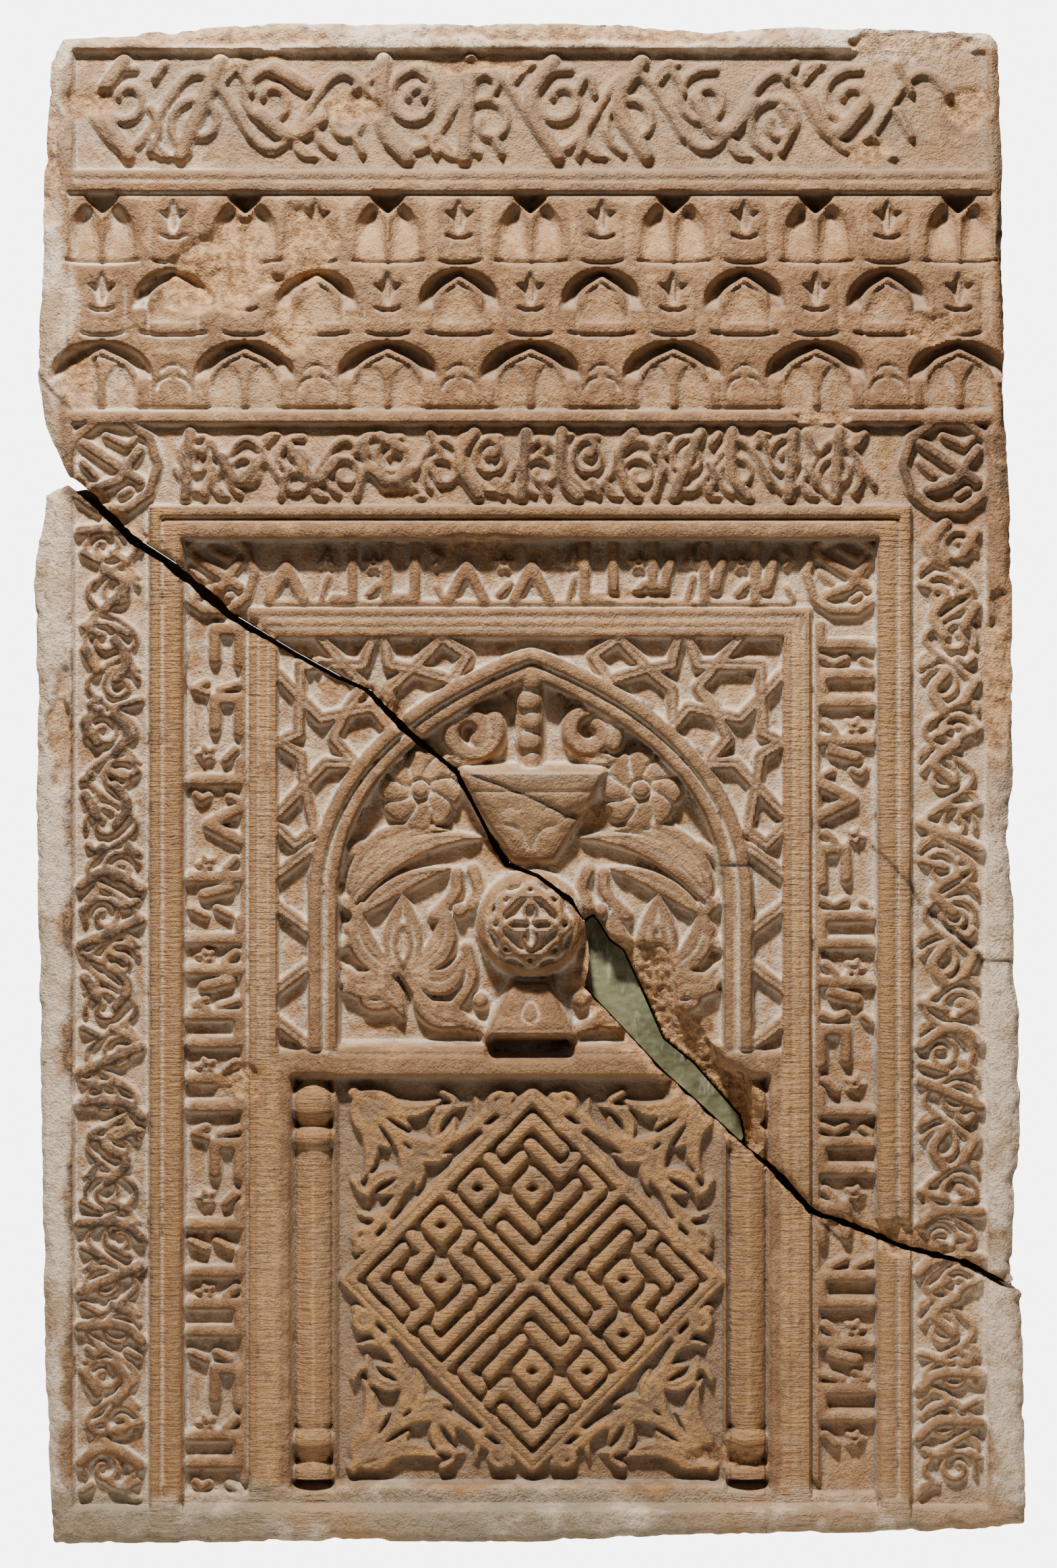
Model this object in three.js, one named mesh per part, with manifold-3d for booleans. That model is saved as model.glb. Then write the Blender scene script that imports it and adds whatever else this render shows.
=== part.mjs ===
// A carved stone niche panel, broken in two across a diagonal fracture, with a small fill in the break.
// Sizes are in millimetres. The front faces -Y, +X is to the right as the front is seen and +Z is up.
// The back lies in the plane Y = 0, and the origin is the middle of the back.
import * as THREE from "three";
import { mergeVertices } from "three/addons/utils/BufferGeometryUtils.js";
import Module from "manifold-3d";

// Widths, from the middle of the panel outwards
const nicheHalfWidth = 201;
const archRibWidth = 30;
const latticeWidth = 31;
const innerFrameWidth = 31;
const innerBandWidth = 67;
const sideMouldingWidth = 35;
const outerBandWidth = 77;
const sideEdgeWidth = 34;

// Heights, from the top of the panel down
const topEdgeHeight = 29;
const topBandHeight = 121;
const upperStripHeight = 25;
const vaultRowHeight = 75;
const vaultRows = 3;
const lowerStripHeight = 16;
const secondBandHeight = 82;
const ledgeHeight = 36;
const innerBandHeight = 70;
const innerTopFrameHeight = 31;
const nicheHeight = 428;
const sillHeight = 31;
const lowerPanelHeight = 418;
const plinthHeight = 62;

// Depths, each measured back from the face of the slab
const slabThickness = 130;
const bandDrop = 9;
const vaultDrop = 4;
const vaultHollow = 20;
const innerBandDrop = 28;
const innerFrameDrop = 19;
const latticeHoleDrop = 33;
const archDrop = 15;
const nicheDrop = 50;
const panelDrop = 37;
const columnDrop = 45;
const edgeWear = 6;

// Reliefs, each measured forward from the ground it stands on
const strokeRelief = 7;
const leafRelief = 12;
const fretRelief = 10;
const sillRelief = 18;

// Free pieces
const strokeWidth = 11;
const strokeSpacing = 1.4;
const ribWidth = 10;
const vaultPitch = 148;
const vaultCells = 7;
const ballRadius = 53;
const flowerRadius = 40;
const lampWidth = 150;
const lampHeight = 92;
const standWidth = 86;
const standHeight = 56;
const fretBar = 14;
const fretNodes = 6;
const fretGutter = 7;
const fretMargin = 9;
const fretLap = 3;
const crackGap = 3;
const restGap = 0.4;
const restDepth = 40;
const fillDrop = 66;
const fillClearance = 0.4;
const finest = 0.1;

// Places that follow from the sizes above
const innerHalf = nicheHalfWidth + archRibWidth + latticeWidth;
const frameHalf = innerHalf + innerFrameWidth;
const innerBandHalf = frameHalf + innerBandWidth;
const mouldingHalf = innerBandHalf + sideMouldingWidth;
const outerBandHalf = mouldingHalf + outerBandWidth;
const slabHalf = outerBandHalf + sideEdgeWidth;
const vaultHalf = slabHalf - 28;
const vaultHeight = vaultRowHeight * vaultRows;
const headHeight = topEdgeHeight + topBandHeight + upperStripHeight + vaultHeight + lowerStripHeight;
const frameHeight = secondBandHeight + ledgeHeight + innerBandHeight + innerTopFrameHeight;
const panelHeight = headHeight + frameHeight + nicheHeight + sillHeight + lowerPanelHeight + plinthHeight;
const zTop = panelHeight / 2;
const zTopBand = zTop - topEdgeHeight;
const zUpperStrip = zTopBand - topBandHeight;
const zVault = zUpperStrip - upperStripHeight;
const zLowerStrip = zVault - vaultHeight;
const zSecondBand = zLowerStrip - lowerStripHeight;
const zLedge = zSecondBand - secondBandHeight;
const zInnerBand = zLedge - ledgeHeight;
const zInnerFrame = zInnerBand - innerBandHeight;
const zNiche = zInnerFrame - innerTopFrameHeight;
const zSill = zNiche - nicheHeight;
const zPanel = zSill - sillHeight;
const zPlinth = zPanel - lowerPanelHeight;
const zBottom = -zTop;
const face = slabThickness;

const wasm = await Module();
wasm.setup();

// A closed three.js geometry as a solid that can be joined and cut
function solid(geometry) {
  const bare = geometry.index ? geometry.toNonIndexed() : geometry.clone();
  bare.deleteAttribute("normal");
  bare.deleteAttribute("uv");
  const merged = mergeVertices(bare, 1e-3);
  return new wasm.Manifold(
    new wasm.Mesh({
      numProp: 3,
      vertProperties: new Float32Array(merged.attributes.position.array),
      triVerts: new Uint32Array(merged.index.array),
    }),
  );
}

const union = (solids) => wasm.Manifold.union(solids);
const vector = ([x, z]) => new THREE.Vector2(x, z);

// An upright outline of [x, z] points, standing from one height to another above the back
function prism(points, low, high) {
  const shape = new THREE.Shape(points.map(vector));
  const geometry = new THREE.ExtrudeGeometry(shape, { depth: high - low, bevelEnabled: false });
  geometry.translate(0, 0, low);
  geometry.rotateX(Math.PI / 2);
  return solid(geometry);
}

// The same, with its front following a slope: highAt(x, z) is the height there
function slopedPrism(points, low, highAt) {
  const shape = new THREE.Shape(points.map(vector));
  const geometry = new THREE.ExtrudeGeometry(shape, { depth: 1, bevelEnabled: false });
  const at = geometry.attributes.position;
  for (let i = 0; i < at.count; i++) {
    const front = at.getZ(i) > 0.5;
    at.setZ(i, front ? highAt(at.getX(i), at.getY(i)) : low);
  }
  geometry.rotateX(Math.PI / 2);
  return solid(geometry);
}

const rectangle = (x0, z0, x1, z1) => [[x0, z0], [x1, z0], [x1, z1], [x0, z1]];
const box = (x0, z0, x1, z1, low, high) => prism(rectangle(x0, z0, x1, z1), low, high);

// Points along an ellipse's arc, angles in turns
function arc(x, z, rx, rz, from, to, steps) {
  return Array.from({ length: steps + 1 }, (_, i) => {
    const a = 2 * Math.PI * (from + ((to - from) * i) / steps);
    return [x + rx * Math.cos(a), z + rz * Math.sin(a)];
  });
}

// Both sides of a path, at half a width from it
function sides(path, widthAt, closed) {
  const n = path.length;
  const left = [];
  const right = [];
  path.forEach(([x, z], i) => {
    const before = path[closed ? (i + n - 1) % n : Math.max(i - 1, 0)];
    const after = path[closed ? (i + 1) % n : Math.min(i + 1, n - 1)];
    const a = Math.atan2(z - before[1], x - before[0]);
    const b = Math.atan2(after[1] - z, after[0] - x);
    const first = i === 0 && !closed;
    const last = i === n - 1 && !closed;
    const along = first ? b : last ? a : Math.atan2(Math.sin(a) + Math.sin(b), Math.cos(a) + Math.cos(b));
    const half = widthAt(i / (n - 1)) / 2 / (first || last ? 1 : Math.max(Math.cos((a - along)), 0.55));
    left.push([x - half * Math.sin(along), z + half * Math.cos(along)]);
    right.push([x + half * Math.sin(along), z - half * Math.cos(along)]);
  });
  return [left, right];
}

function ribbon(path, width, low, high) {
  const [left, right] = sides(path, () => width, false);
  return prism([...left, ...right.reverse()], low, high);
}

function ring(path, width, low, high) {
  const turn = THREE.ShapeUtils.area(path.map(vector)) > 0;
  const [left, right] = sides(path, () => width, true);
  return prism(turn ? right : left, low, high).subtract(prism(turn ? left : right, low - 1, high + 1));
}

// A leaf from its foot to its tip, bowed to one side by a share of its length
function leaf([x0, z0], [x1, z1], width, bow, low, high, steps = 3) {
  const [dx, dz] = [x1 - x0, z1 - z0];
  const path = Array.from({ length: steps + 1 }, (_, i) => {
    const t = i / steps;
    const side = 4 * bow * t * (1 - t);
    return [x0 + dx * t - dz * side, z0 + dz * t + dx * side];
  });
  const [left, right] = sides(path, (t) => width * Math.sin(Math.PI * t ** 0.8), false);
  return prism([path[0], ...left.slice(1, -1), path.at(-1), ...right.slice(1, -1).reverse()], low, high);
}

// A repeatable number from 0 to 1 for each whole number
function chance(i) {
  const value = Math.sin(i * 12.9898 + 4.1) * 43758.5453;
  return value - Math.floor(value);
}

// The outline of the slab, worn unevenly: each number is how far the edge stands in from the sizes above
function slabOutline() {
  const up = (z) => z * (panelHeight / 2);
  const leftWear = [[0.98, 22], [0.95, 10], [0.8, 2], [0.65, -1], [0.54, -5], [0.47, 4], [0.42, 22],
    [0.398, 31], [0.38, 4], [0.27, -9], [0.09, -4], [-0.03, -6], [-0.48, 0], [-0.78, 3], [-1, 12]];
  const rightWear = [[-0.975, -7], [-0.67, -3], [-0.645, 8], [-0.53, 4], [-0.46, -2], [-0.3, 0], [-0.255, 6],
    [-0.15, 5], [-0.07, 13], [0.01, 5], [0.32, 8], [0.5, 15], [0.83, 17], [0.975, 22], [0.99, 30]];
  const left = leftWear.map(([z, wear]) => [-slabHalf + wear, up(z)]);
  const right = rightWear.map(([z, wear]) => [slabHalf - wear, up(z)]);
  const foot = [[-0.45, 3], [0, 2], [0.3, 9], [0.85, 13]].map(([x, wear]) => [x * slabHalf, zBottom + wear]);
  const head = [[0.56, 3], [0.35, 7], [0.16, -1], [-0.3, 0], [-0.54, -1], [-0.78, 8]].map(
    ([x, wear]) => [x * slabHalf, zTop - wear]);
  return [...left, ...foot, ...right, ...head];
}

// The slab, with its edges worn off by a small slope
function slab() {
  const shape = new THREE.Shape(slabOutline().map(vector));
  const geometry = new THREE.ExtrudeGeometry(shape, {
    depth: slabThickness - edgeWear, bevelEnabled: true, bevelSegments: 1, bevelSize: edgeWear,
    bevelThickness: edgeWear, bevelOffset: -edgeWear,
  });
  geometry.rotateX(Math.PI / 2);
  const whole = solid(geometry);
  const behind = solid(new THREE.BoxGeometry(3 * slabHalf, 4 * edgeWear, 2 * panelHeight)
    .translate(0, 2 * edgeWear, 0));
  return whole.subtract(behind);
}

// The fracture, from the left edge down to the right edge; the ball stays on the lower part
const ballAt = [4, zNiche - 298];
const crackLine = [
  [-slabHalf - 30, 318], [-474, 317], [-446, 291], [-411, 257], [-368, 229], [-309, 177], [-250, 141],
  [-201, 114], [-168, 99], [-127, 56], [-76, 15], [-34, -66], [-22, -83], [9, -94], [44, -120], [57, -145],
  [62, -180], [57, -213], [79, -236], [139, -300], [177, -334], [222, -376], [254, -399], [293, -442],
  [331, -456], [387, -478], [449, -493], [499, -519], [slabHalf + 30, -520],
];
const fillEdge = [
  [66, -137], [83, -164], [97, -174], [113, -208], [139, -267], [170, -292], [219, -348], [224, -372],
];
const scarEdge = [
  [92, -164], [139, -169], [149, -194], [150, -236], [184, -257], [192, -292], [219, -306], [231, -374],
];

// Everything below the fracture, its edge moved down and to the left by a gap
function belowCrack(gap, low, high) {
  const far = 2 * panelHeight;
  const edge = crackLine.map(([x, z]) => [x - gap, z - gap]);
  const [start, end] = [edge[0][1], edge.at(-1)[1]];
  const rest = [[2 * slabHalf, end], [2 * slabHalf, -far], [-2 * slabHalf, -far], [-2 * slabHalf, start]];
  return prism([...edge, ...rest], low, high);
}

// The place of the lost chip: closed by the fracture's own line on the side of the lower part
const chipSide = crackLine.slice(15, 22).reverse();
const beyondChip = [[226, -382], ...chipSide.map(([x, z]) => [x - 2 * crackGap, z - 0.5 * crackGap])];
const fillOutline = [...fillEdge, ...chipSide];

// The pocket: a steep-sided place for the fill, and a rough scar that slopes up from it
function chipPocket() {
  const slope = (x, z) => face - panelDrop - 25 + 0.32 * Math.min(100, Math.max(0, x + z + 110));
  const scar = prism([...scarEdge, ...beyondChip], restDepth, 2 * face)
    .subtract(slopedPrism([...scarEdge, ...beyondChip], 0, slope));
  return scar.add(prism([...fillEdge, ...beyondChip], restDepth, 2 * face));
}

function fillPiece() {
  const [left, right] = sides(fillOutline, () => 2 * fillClearance, true);
  const turn = THREE.ShapeUtils.area(fillOutline.map(vector)) > 0;
  return prism(turn ? left : right, restDepth + fillClearance, face - fillDrop);
}

// The sunk grounds of every field
function grounds() {
  const deep = (drop) => face - drop;
  const out = 2 * face;
  const side = (sign, from, to, low, high, drop) =>
    box(sign > 0 ? from : -to, low, sign > 0 ? to : -from, high, deep(drop), out);
  const bandEnd = outerBandHalf;
  const list = [
    box(-bandEnd, zUpperStrip, bandEnd, zTopBand, deep(bandDrop), out),
    box(-vaultHalf, zLowerStrip, vaultHalf, zVault, deep(vaultDrop), out),
    box(-bandEnd, zLedge, bandEnd, zSecondBand, deep(bandDrop), out),
    box(-innerBandHalf, zPlinth - 22, innerBandHalf, zInnerBand, deep(innerFrameDrop), out),
    box(-innerBandHalf, zInnerFrame, innerBandHalf, zInnerBand, deep(innerBandDrop), out),
    box(-innerHalf, zSill, innerHalf, zNiche, deep(latticeHoleDrop), out),
    prism(archOutline(0), deep(nicheDrop), out),
    box(-columnInner, zPlinth, columnInner, zPanel, deep(panelDrop), out),
  ];
  for (const sign of [-1, 1]) {
    list.push(side(sign, mouldingHalf, outerBandHalf, zPlinth - 22, zLedge, bandDrop));
    list.push(side(sign, frameHalf, innerBandHalf, zPlinth - 10, zInnerFrame, innerBandDrop));
    list.push(side(sign, columnInner + 8, columnOuter, zPlinth - 4, zPanel, columnDrop));
    list.push(side(sign, mouldingHalf - 22, mouldingHalf - 20, zPlinth - 10, zLedge - 13, bandDrop));
  }
  list.push(box(-mouldingHalf, zLedge - 15, mouldingHalf, zLedge - 13, deep(bandDrop), out));
  return list;
}

// The niche's pointed arch: upright jambs, then a curve on each side up to the apex
const columnInner = nicheHalfWidth - 1;
const columnOuter = innerHalf - 18;
const archRise = zNiche - 41;
const springing = zNiche - 268;

function archOutline(outwards) {
  const half = nicheHalfWidth + outwards;
  const curve = new THREE.QuadraticBezierCurve(
    new THREE.Vector2(half, springing), new THREE.Vector2(half - 2, springing + 147 + 0.7 * outwards),
    new THREE.Vector2(0, archRise + outwards * 1.03));
  const right = curve.getPoints(6).map((p) => [p.x, p.y]);
  const left = right.slice(0, -1).reverse().map(([x, z]) => [-x, z]);
  return [[half, zSill], ...right, ...left, [-half, zSill]];
}

function archRibs() {
  const base = face - nicheDrop - 4;
  const band = (outer, inner, high) =>
    prism(archOutline(outer), base, high).subtract(prism(archOutline(inner), base - 2, high + 2));
  return [
    band(archRibWidth, archRibWidth * 0.5, face - archDrop - 1),
    band(archRibWidth * 0.5, -0.5, face - archDrop - 7),
  ];
}

// The star lattice beside the arch: each rib is a path from the field's upper inner corner
const latticeRibs = [
  [[92, 0], [65, -18], [81, -44]],
  [[92, 0], [120, -30], [147, -53], [148, -92]],
  [[81, -44], [120, -33], [147, -28], [153, 0]],
  [[164, 0], [174, -28], [239, -28], [241, -99], [262, -108]],
  [[218, 0], [174, -51], [192, -77], [205, -104], [182, -131]],
  [[262, -38], [218, -84], [164, -72], [148, -92]],
  [[262, -108], [239, -122], [234, -156], [225, -200]],
  [[182, -131], [213, -130], [262, -182]],
  [[225, -200], [245, -215], [262, -198]],
];

function lattice() {
  const base = face - latticeHoleDrop - 3;
  const top = face - innerFrameDrop - 2;
  const list = [];
  for (const sign of [-1, 1]) {
    for (const rib of latticeRibs)
      list.push(ribbon(rib.map(([x, z]) => [sign * x, zNiche + z]), ribWidth, base, top));
    for (let i = 0; i < 4; i++) {
      const z = springing + 36 - 60 * i;
      const lean = i % 2 ? -1 : 1;
      const from = [sign * (innerHalf - latticeWidth - 4), z + 14 * lean];
      list.push(ribbon([from, [sign * (innerHalf + 2), z - 14 * lean]], ribWidth, base, top));
    }
  }
  return list;
}

// Three rows of small vault cells. Arched and narrow leaf cells take turns, and the middle row is shifted
function vaulting() {
  const cuts = [];
  const fills = [];
  const out = 2 * face;
  const floor = face - vaultHollow;
  for (let row = 0; row < vaultRows; row++) {
    const z = zVault - row * vaultRowHeight;
    const foot = z - vaultRowHeight + 3;
    const peak = z - 6;
    const shoulder = z - [34, 34, 26][row];
    const half = [34, 37, 42][row];
    const arch = (x, inset) => {
      const [left, right] = [Math.max(x - half + inset, -vaultHalf), Math.min(x + half - inset, vaultHalf)];
      const [low, high, bend] = [shoulder - inset, peak - inset, (half - inset) * 0.55];
      const curve = [[left, low], [x - bend, high - 9], [x, high], [x + bend, high - 9], [right, low]];
      return [[left, foot], ...curve, [right, foot]];
    };
    const wide = row === 1 ? vaultCells - 1 : vaultCells;
    for (let i = 0; i < wide; i++) {
      const x = (i - (wide - 1) / 2) * vaultPitch;
      if (row === 0) {
        cuts.push(prism(arch(x, 0), floor + 5, out));
        cuts.push(prism([[x - 13, z - 7], [x, z - 23], [x + 13, z - 7]], floor - 6, out));
      } else {
        cuts.push(prism(arch(x, 0), floor, out));
        fills.push(prism(arch(x, 9), floor - 2, face - 8));
      }
    }
    const narrow = row === 1 ? vaultCells : vaultCells - 1;
    for (let i = 0; i < narrow; i++) {
      const x = (i - (narrow - 1) / 2) * vaultPitch;
      const stem = row === 2 ? z - 58 : z - 44;
      cuts.push(leaf([x, stem], [x, stem + 34], 14, 0, face - 13, out, 2));
    }
  }
  return { cuts, fills };
}

// Maps a place in a band, along it and across it, to the panel
const across = (x0, z0, height) => (s, t) => [x0 + s * height, z0 + t * height];
const downRight = (x0, z0, height) => (s, t) => [x0 + t * height, z0 - s * height];
const downLeft = (x0, z0, height) => (s, t) => [x0 - t * height, z0 - s * height];

// Flowing strokes: reeds, bowls, waves, hooks and slashes in a repeatable, meaningless order
const flowing = [
  { step: 0.42, paths: [[[0.1, 0.94], [0.06, 0.34], [0.3, 0.1]]] },
  { step: 0.68, paths: [[[0.03, 0.6], [0.24, 0.22], [0.52, 0.56]]] },
  { step: 0.68, paths: [[[0.0, 0.46], [0.26, 0.24], [0.52, 0.44]], [[0.12, 0.86], [0.4, 0.7]]] },
  { step: 0.5, paths: [[[0.06, 0.12], [0.4, 0.92]]] },
  { step: 0.54, paths: [[[0.36, 0.92], [0.1, 0.56], [0.4, 0.12]]] },
  { step: 0.4, paths: [[[0.22, 0.92], [0.16, 0.1]]] },
];

// Squared strokes: posts, twin posts, open boxes, peaks and combs in a repeatable, meaningless order
const squared = [
  { step: 0.48, paths: [[[0.28, 0.94], [0.28, 0.12], [0.0, 0.12]]] },
  { step: 0.68, paths: [[[0.06, 0.92], [0.06, 0.14], [0.48, 0.14], [0.48, 0.92]]] },
  { step: 0.72, paths: [[[0.5, 0.52], [0.06, 0.52], [0.06, 0.14], [0.56, 0.14]]] },
  { step: 0.68, paths: [[[0.02, 0.12], [0.28, 0.62], [0.54, 0.12]]] },
  { step: 0.5, paths: [[[0.08, 0.92], [0.08, 0.12]], [[0.24, 0.3], [0.34, 0.68]]] },
];

function strokes(kinds, length, height, place, base, width, seed) {
  const list = [];
  let s = 0.06;
  for (let i = 0; s * height < length - 0.6 * height; i++) {
    const kind = kinds[Math.floor(chance(seed + i) * kinds.length)];
    for (const path of kind.paths)
      list.push(ribbon(path.map(([a, b]) => place(s + a, b)), width, base - 2, base + strokeRelief));
    s += strokeSpacing * (kind.step + 0.05 * chance(seed + i + 0.5));
  }
  return list;
}

const roundelRadius = 52;
const innerRoundelRadius = 44;

// A ring with two crossing bars
function roundel(x, z, radius, base) {
  const circle = (r) => arc(x, z, r, r, 0, 1, 10).slice(0, -1);
  const list = [ring(circle(radius - 4), 9, base - 2, base + strokeRelief)];
  const span = 0.62 * radius;
  const bars = [[[-0.9, 0.7], [0.9, -0.5]], [[-0.7, -0.8], [0.2, -0.5], [0.9, 0.5]]];
  for (const bar of bars)
    list.push(ribbon(bar.map(([a, b]) => [x + a * span, z + b * span]), 9, base - 2, base + strokeRelief));
  return list;
}

function bands() {
  const outer = face - bandDrop;
  const inner = face - innerBandDrop;
  const cornerX = mouldingHalf + outerBandWidth / 2;
  const cornerZ = zLedge + secondBandHeight / 2;
  const innerCornerX = frameHalf + innerBandWidth / 2;
  const innerCornerZ = zInnerFrame + innerBandHeight / 2;
  const sideTop = cornerZ - roundelRadius - 4;
  const innerSideTop = innerCornerZ - innerRoundelRadius - 6;
  const second = cornerX - roundelRadius - 6;
  const top = innerCornerX - innerRoundelRadius - 5;
  const list = [
    ...strokes(flowing, 2 * outerBandHalf, topBandHeight, across(-outerBandHalf, zUpperStrip, topBandHeight),
      outer, strokeWidth + 3, 3),
    ...strokes(flowing, 2 * second, secondBandHeight, across(-second, zLedge, secondBandHeight),
      outer, strokeWidth, 41),
    ...strokes(squared, 2 * top, innerBandHeight, across(-top, zInnerFrame, innerBandHeight),
      inner, strokeWidth, 87),
  ];
  for (const [sign, down, seed] of [[-1, downLeft, 129], [1, downRight, 173]]) {
    const outward = down(sign * mouldingHalf, sideTop, outerBandWidth);
    const inward = down(sign * frameHalf, innerSideTop, innerBandWidth);
    const outerLength = sideTop - zPlinth + 18;
    const innerLength = innerSideTop - zPlinth + 4;
    list.push(...strokes(flowing, outerLength, outerBandWidth, outward, outer, strokeWidth, seed));
    list.push(...strokes(squared, innerLength, innerBandWidth, inward, inner, strokeWidth, seed + 82));
    list.push(...roundel(sign * cornerX, cornerZ, roundelRadius, outer));
    list.push(...roundel(sign * innerCornerX, innerCornerZ, innerRoundelRadius, inner));
  }
  return list;
}

// A flower of eight petals round a button
function flower(x, z, base) {
  const list = [];
  const petals = 8;
  for (let i = 0; i < petals; i++) {
    const a = (2 * Math.PI * (i + 0.3)) / petals;
    const at = (r) => [x + r * Math.cos(a), z + r * Math.sin(a)];
    list.push(leaf(at(6), at(flowerRadius), 21, 0.05, base - 2, base + leafRelief, 2));
  }
  list.push(prism(arc(x, z, 8, 8, 0, 1, 6).slice(0, -1), base - 2, base + leafRelief + 4));
  return list;
}

// The hanging lamp: a tapering bowl, two curled handles and a short hanger
function lamp() {
  const ground = face - nicheDrop;
  const half = lampWidth / 2;
  const rim = zNiche - 140;
  const foot = rim - lampHeight;
  const cheek = half * 0.92;
  const bowl = [[-half, rim], [-cheek, rim - 14], [-18, foot], [24, foot], [cheek, rim - 14], [half, rim]];
  const front = (x, z) => ground + 12 + (30 * (z - foot)) / lampHeight;
  const list = [slopedPrism(bowl, ground - 2, front)];
  list.push(box(-12, rim - 2, 12, rim + 99, ground - 2, ground + 30));
  for (const sign of [-1, 1]) {
    const curl = arc(sign * 60, rim + 42, 22, 23, 0, 1, 10).slice(0, -1);
    list.push(ring(curl, 16, ground - 2, ground + 20));
    list.push(leaf([sign * 92, rim + 14], [sign * 44, rim + 64], 15, sign * 0.32, ground - 2, ground + 20));
  }
  return list;
}

// The plants of the niche: a lotus at each side, long leaves, stems and curled leaves
function plants() {
  const ground = face - nicheDrop;
  const top = ground + leafRelief;
  const list = [];
  const lotusFoot = zNiche - 350;
  for (const sign of [-1, 1]) {
    const at = (x, z) => [sign * x, lotusFoot + z];
    const add = (from, to, width, bow) =>
      list.push(leaf(at(...from), at(...to), width, sign * bow, ground - 2, top));
    list.push(...flower(sign * 115, zNiche - 158, ground));
    add([133, 0], [131, 74], 26, 0);
    add([136, 0], [168, 66], 24, -0.14);
    add([127, 0], [96, 66], 24, 0.14);
    add([140, 2], [200, 12], 26, -0.3);
    add([123, 2], [66, 26], 24, 0.3);
    add([188, 78], [44, 136], 30, -0.12);
    add([190, -22], [128, -42], 26, -0.3);
    list.push(ribbon([at(130, 0), at(104, -40), at(34, -62)], 9, ground - 2, top));
    list.push(ribbon([at(66, 26), at(58, -6), at(84, -42)], 8, ground - 2, top));
    list.push(ribbon([at(100, 52), at(76, 84), at(76, 104)], 8, ground - 2, top));
  }
  return list;
}

// The ball over its stand, in front of the plants
function ballAndStand() {
  const ground = face - nicheDrop;
  const [x, z] = ballAt;
  const ball = new THREE.SphereGeometry(ballRadius, 12, 8);
  ball.rotateX(Math.PI / 2);
  ball.translate(x, -ground - 4, z);
  const half = standWidth / 2;
  const foot = zSill + 8;
  const neck = half * 0.4;
  const head = foot + standHeight;
  const stand = [[x - half, foot], [x + half, foot], [x + neck, head], [x - neck, head]];
  const front = (_, up) => ground + 32 - (14 * (up - foot)) / standHeight;
  return [solid(ball), slopedPrism(stand, ground - 2, front)];
}

// The sill below the niche: two steps
function sill() {
  const reach = innerHalf - 22;
  const base = face - columnDrop - 4;
  return [
    box(-reach, zPanel + 14, reach, zSill, base, face - columnDrop + sillRelief + 4),
    box(-reach, zPanel + 1, reach, zPanel + 11, base, face - columnDrop + sillRelief),
    box(-reach, zPanel + 10, reach, zPanel + 15, base, face - columnDrop + sillRelief - 6),
  ];
}

// Engaged columns, with an eight-sided cushion and a ring at the top, and a cup and a block at the foot
function columns() {
  const list = [];
  const axis = face - columnDrop + 4;
  const radius = 17;
  const profile = [[0, 0], [21, 0], [21, 16], [12, 20], [21, 44], [radius, 54], [radius, 358], [22, 372],
    [12, 380], [22, 402], [12, 424], [0, 430]];
  const scale = (lowerPanelHeight + 2) / 430;
  const lathe = profile.map(([r, z]) => new THREE.Vector2(r, z * scale));
  for (const sign of [-1, 1]) {
    const shaft = new THREE.LatheGeometry(lathe, 8);
    shaft.rotateX(Math.PI / 2);
    shaft.translate(sign * (columnInner + columnOuter + 8) / 2, -axis, zPlinth);
    list.push(solid(shaft));
  }
  return list;
}

// The key fret: a square on its point, cut in four, each quarter filled with bars that turn on a grid
const fretBars = [
  [[2, 5], [2, 4], [3, 4]],
  [[3, 5], [5, 5], [5, 3]],
  [[4, 4], [4, 2], [5, 2]],
  [[0, 3], [1, 3], [1, 1]],
  [[0, 2], [0, 0], [2, 0]],
  [[2, 1], [4, 1]],
  [[3, 0], [5, 0], [5, 1]],
];
const fretRings = [[0, 4], [2, 2]];

// The square's corners just lap over the edge of the lower field
const fretReach = (Math.min(columnInner, lowerPanelHeight / 2) + fretLap) * Math.SQRT1_2 - fretBar / 2;
const fretPitch = (fretReach - fretGutter - fretMargin) / fretNodes;

function fret() {
  const base = face - panelDrop;
  const top = base + fretRelief;
  const centre = [2, zPanel - lowerPanelHeight / 2];
  const turned = ([u, v]) => [centre[0] + (u - v) * Math.SQRT1_2, centre[1] + (u + v) * Math.SQRT1_2];
  const list = [];
  for (const su of [-1, 1])
    for (const sv of [-1, 1]) {
      const along = (i) => fretGutter + (i + 0.5) * fretPitch;
      const node = ([i, j]) => turned([su * along(i), sv * along(j)]);
      const half = fretBar / fretPitch / 2;
      for (const bar of fretBars) {
        const ended = bar.map((p, k) => {
          if (k > 0 && k < bar.length - 1) return p;
          const next = bar[k === 0 ? 1 : k - 1];
          return [p[0] + half * Math.sign(p[0] - next[0]), p[1] + half * Math.sign(p[1] - next[1])];
        });
        list.push(ribbon(ended.map(node), fretBar, base - 2, top));
      }
      for (const [i, j] of fretRings)
        list.push(ring([[i, j], [i + 1, j], [i + 1, j + 1], [i, j + 1]].map(node), fretBar, base - 2, top));
    }
  const square = [[1, 1], [-1, 1], [-1, -1], [1, -1]].map(([u, v]) => turned([u * fretReach, v * fretReach]));
  list.push(ring(square, fretBar, base - 2, top));
  return list;
}

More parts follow.
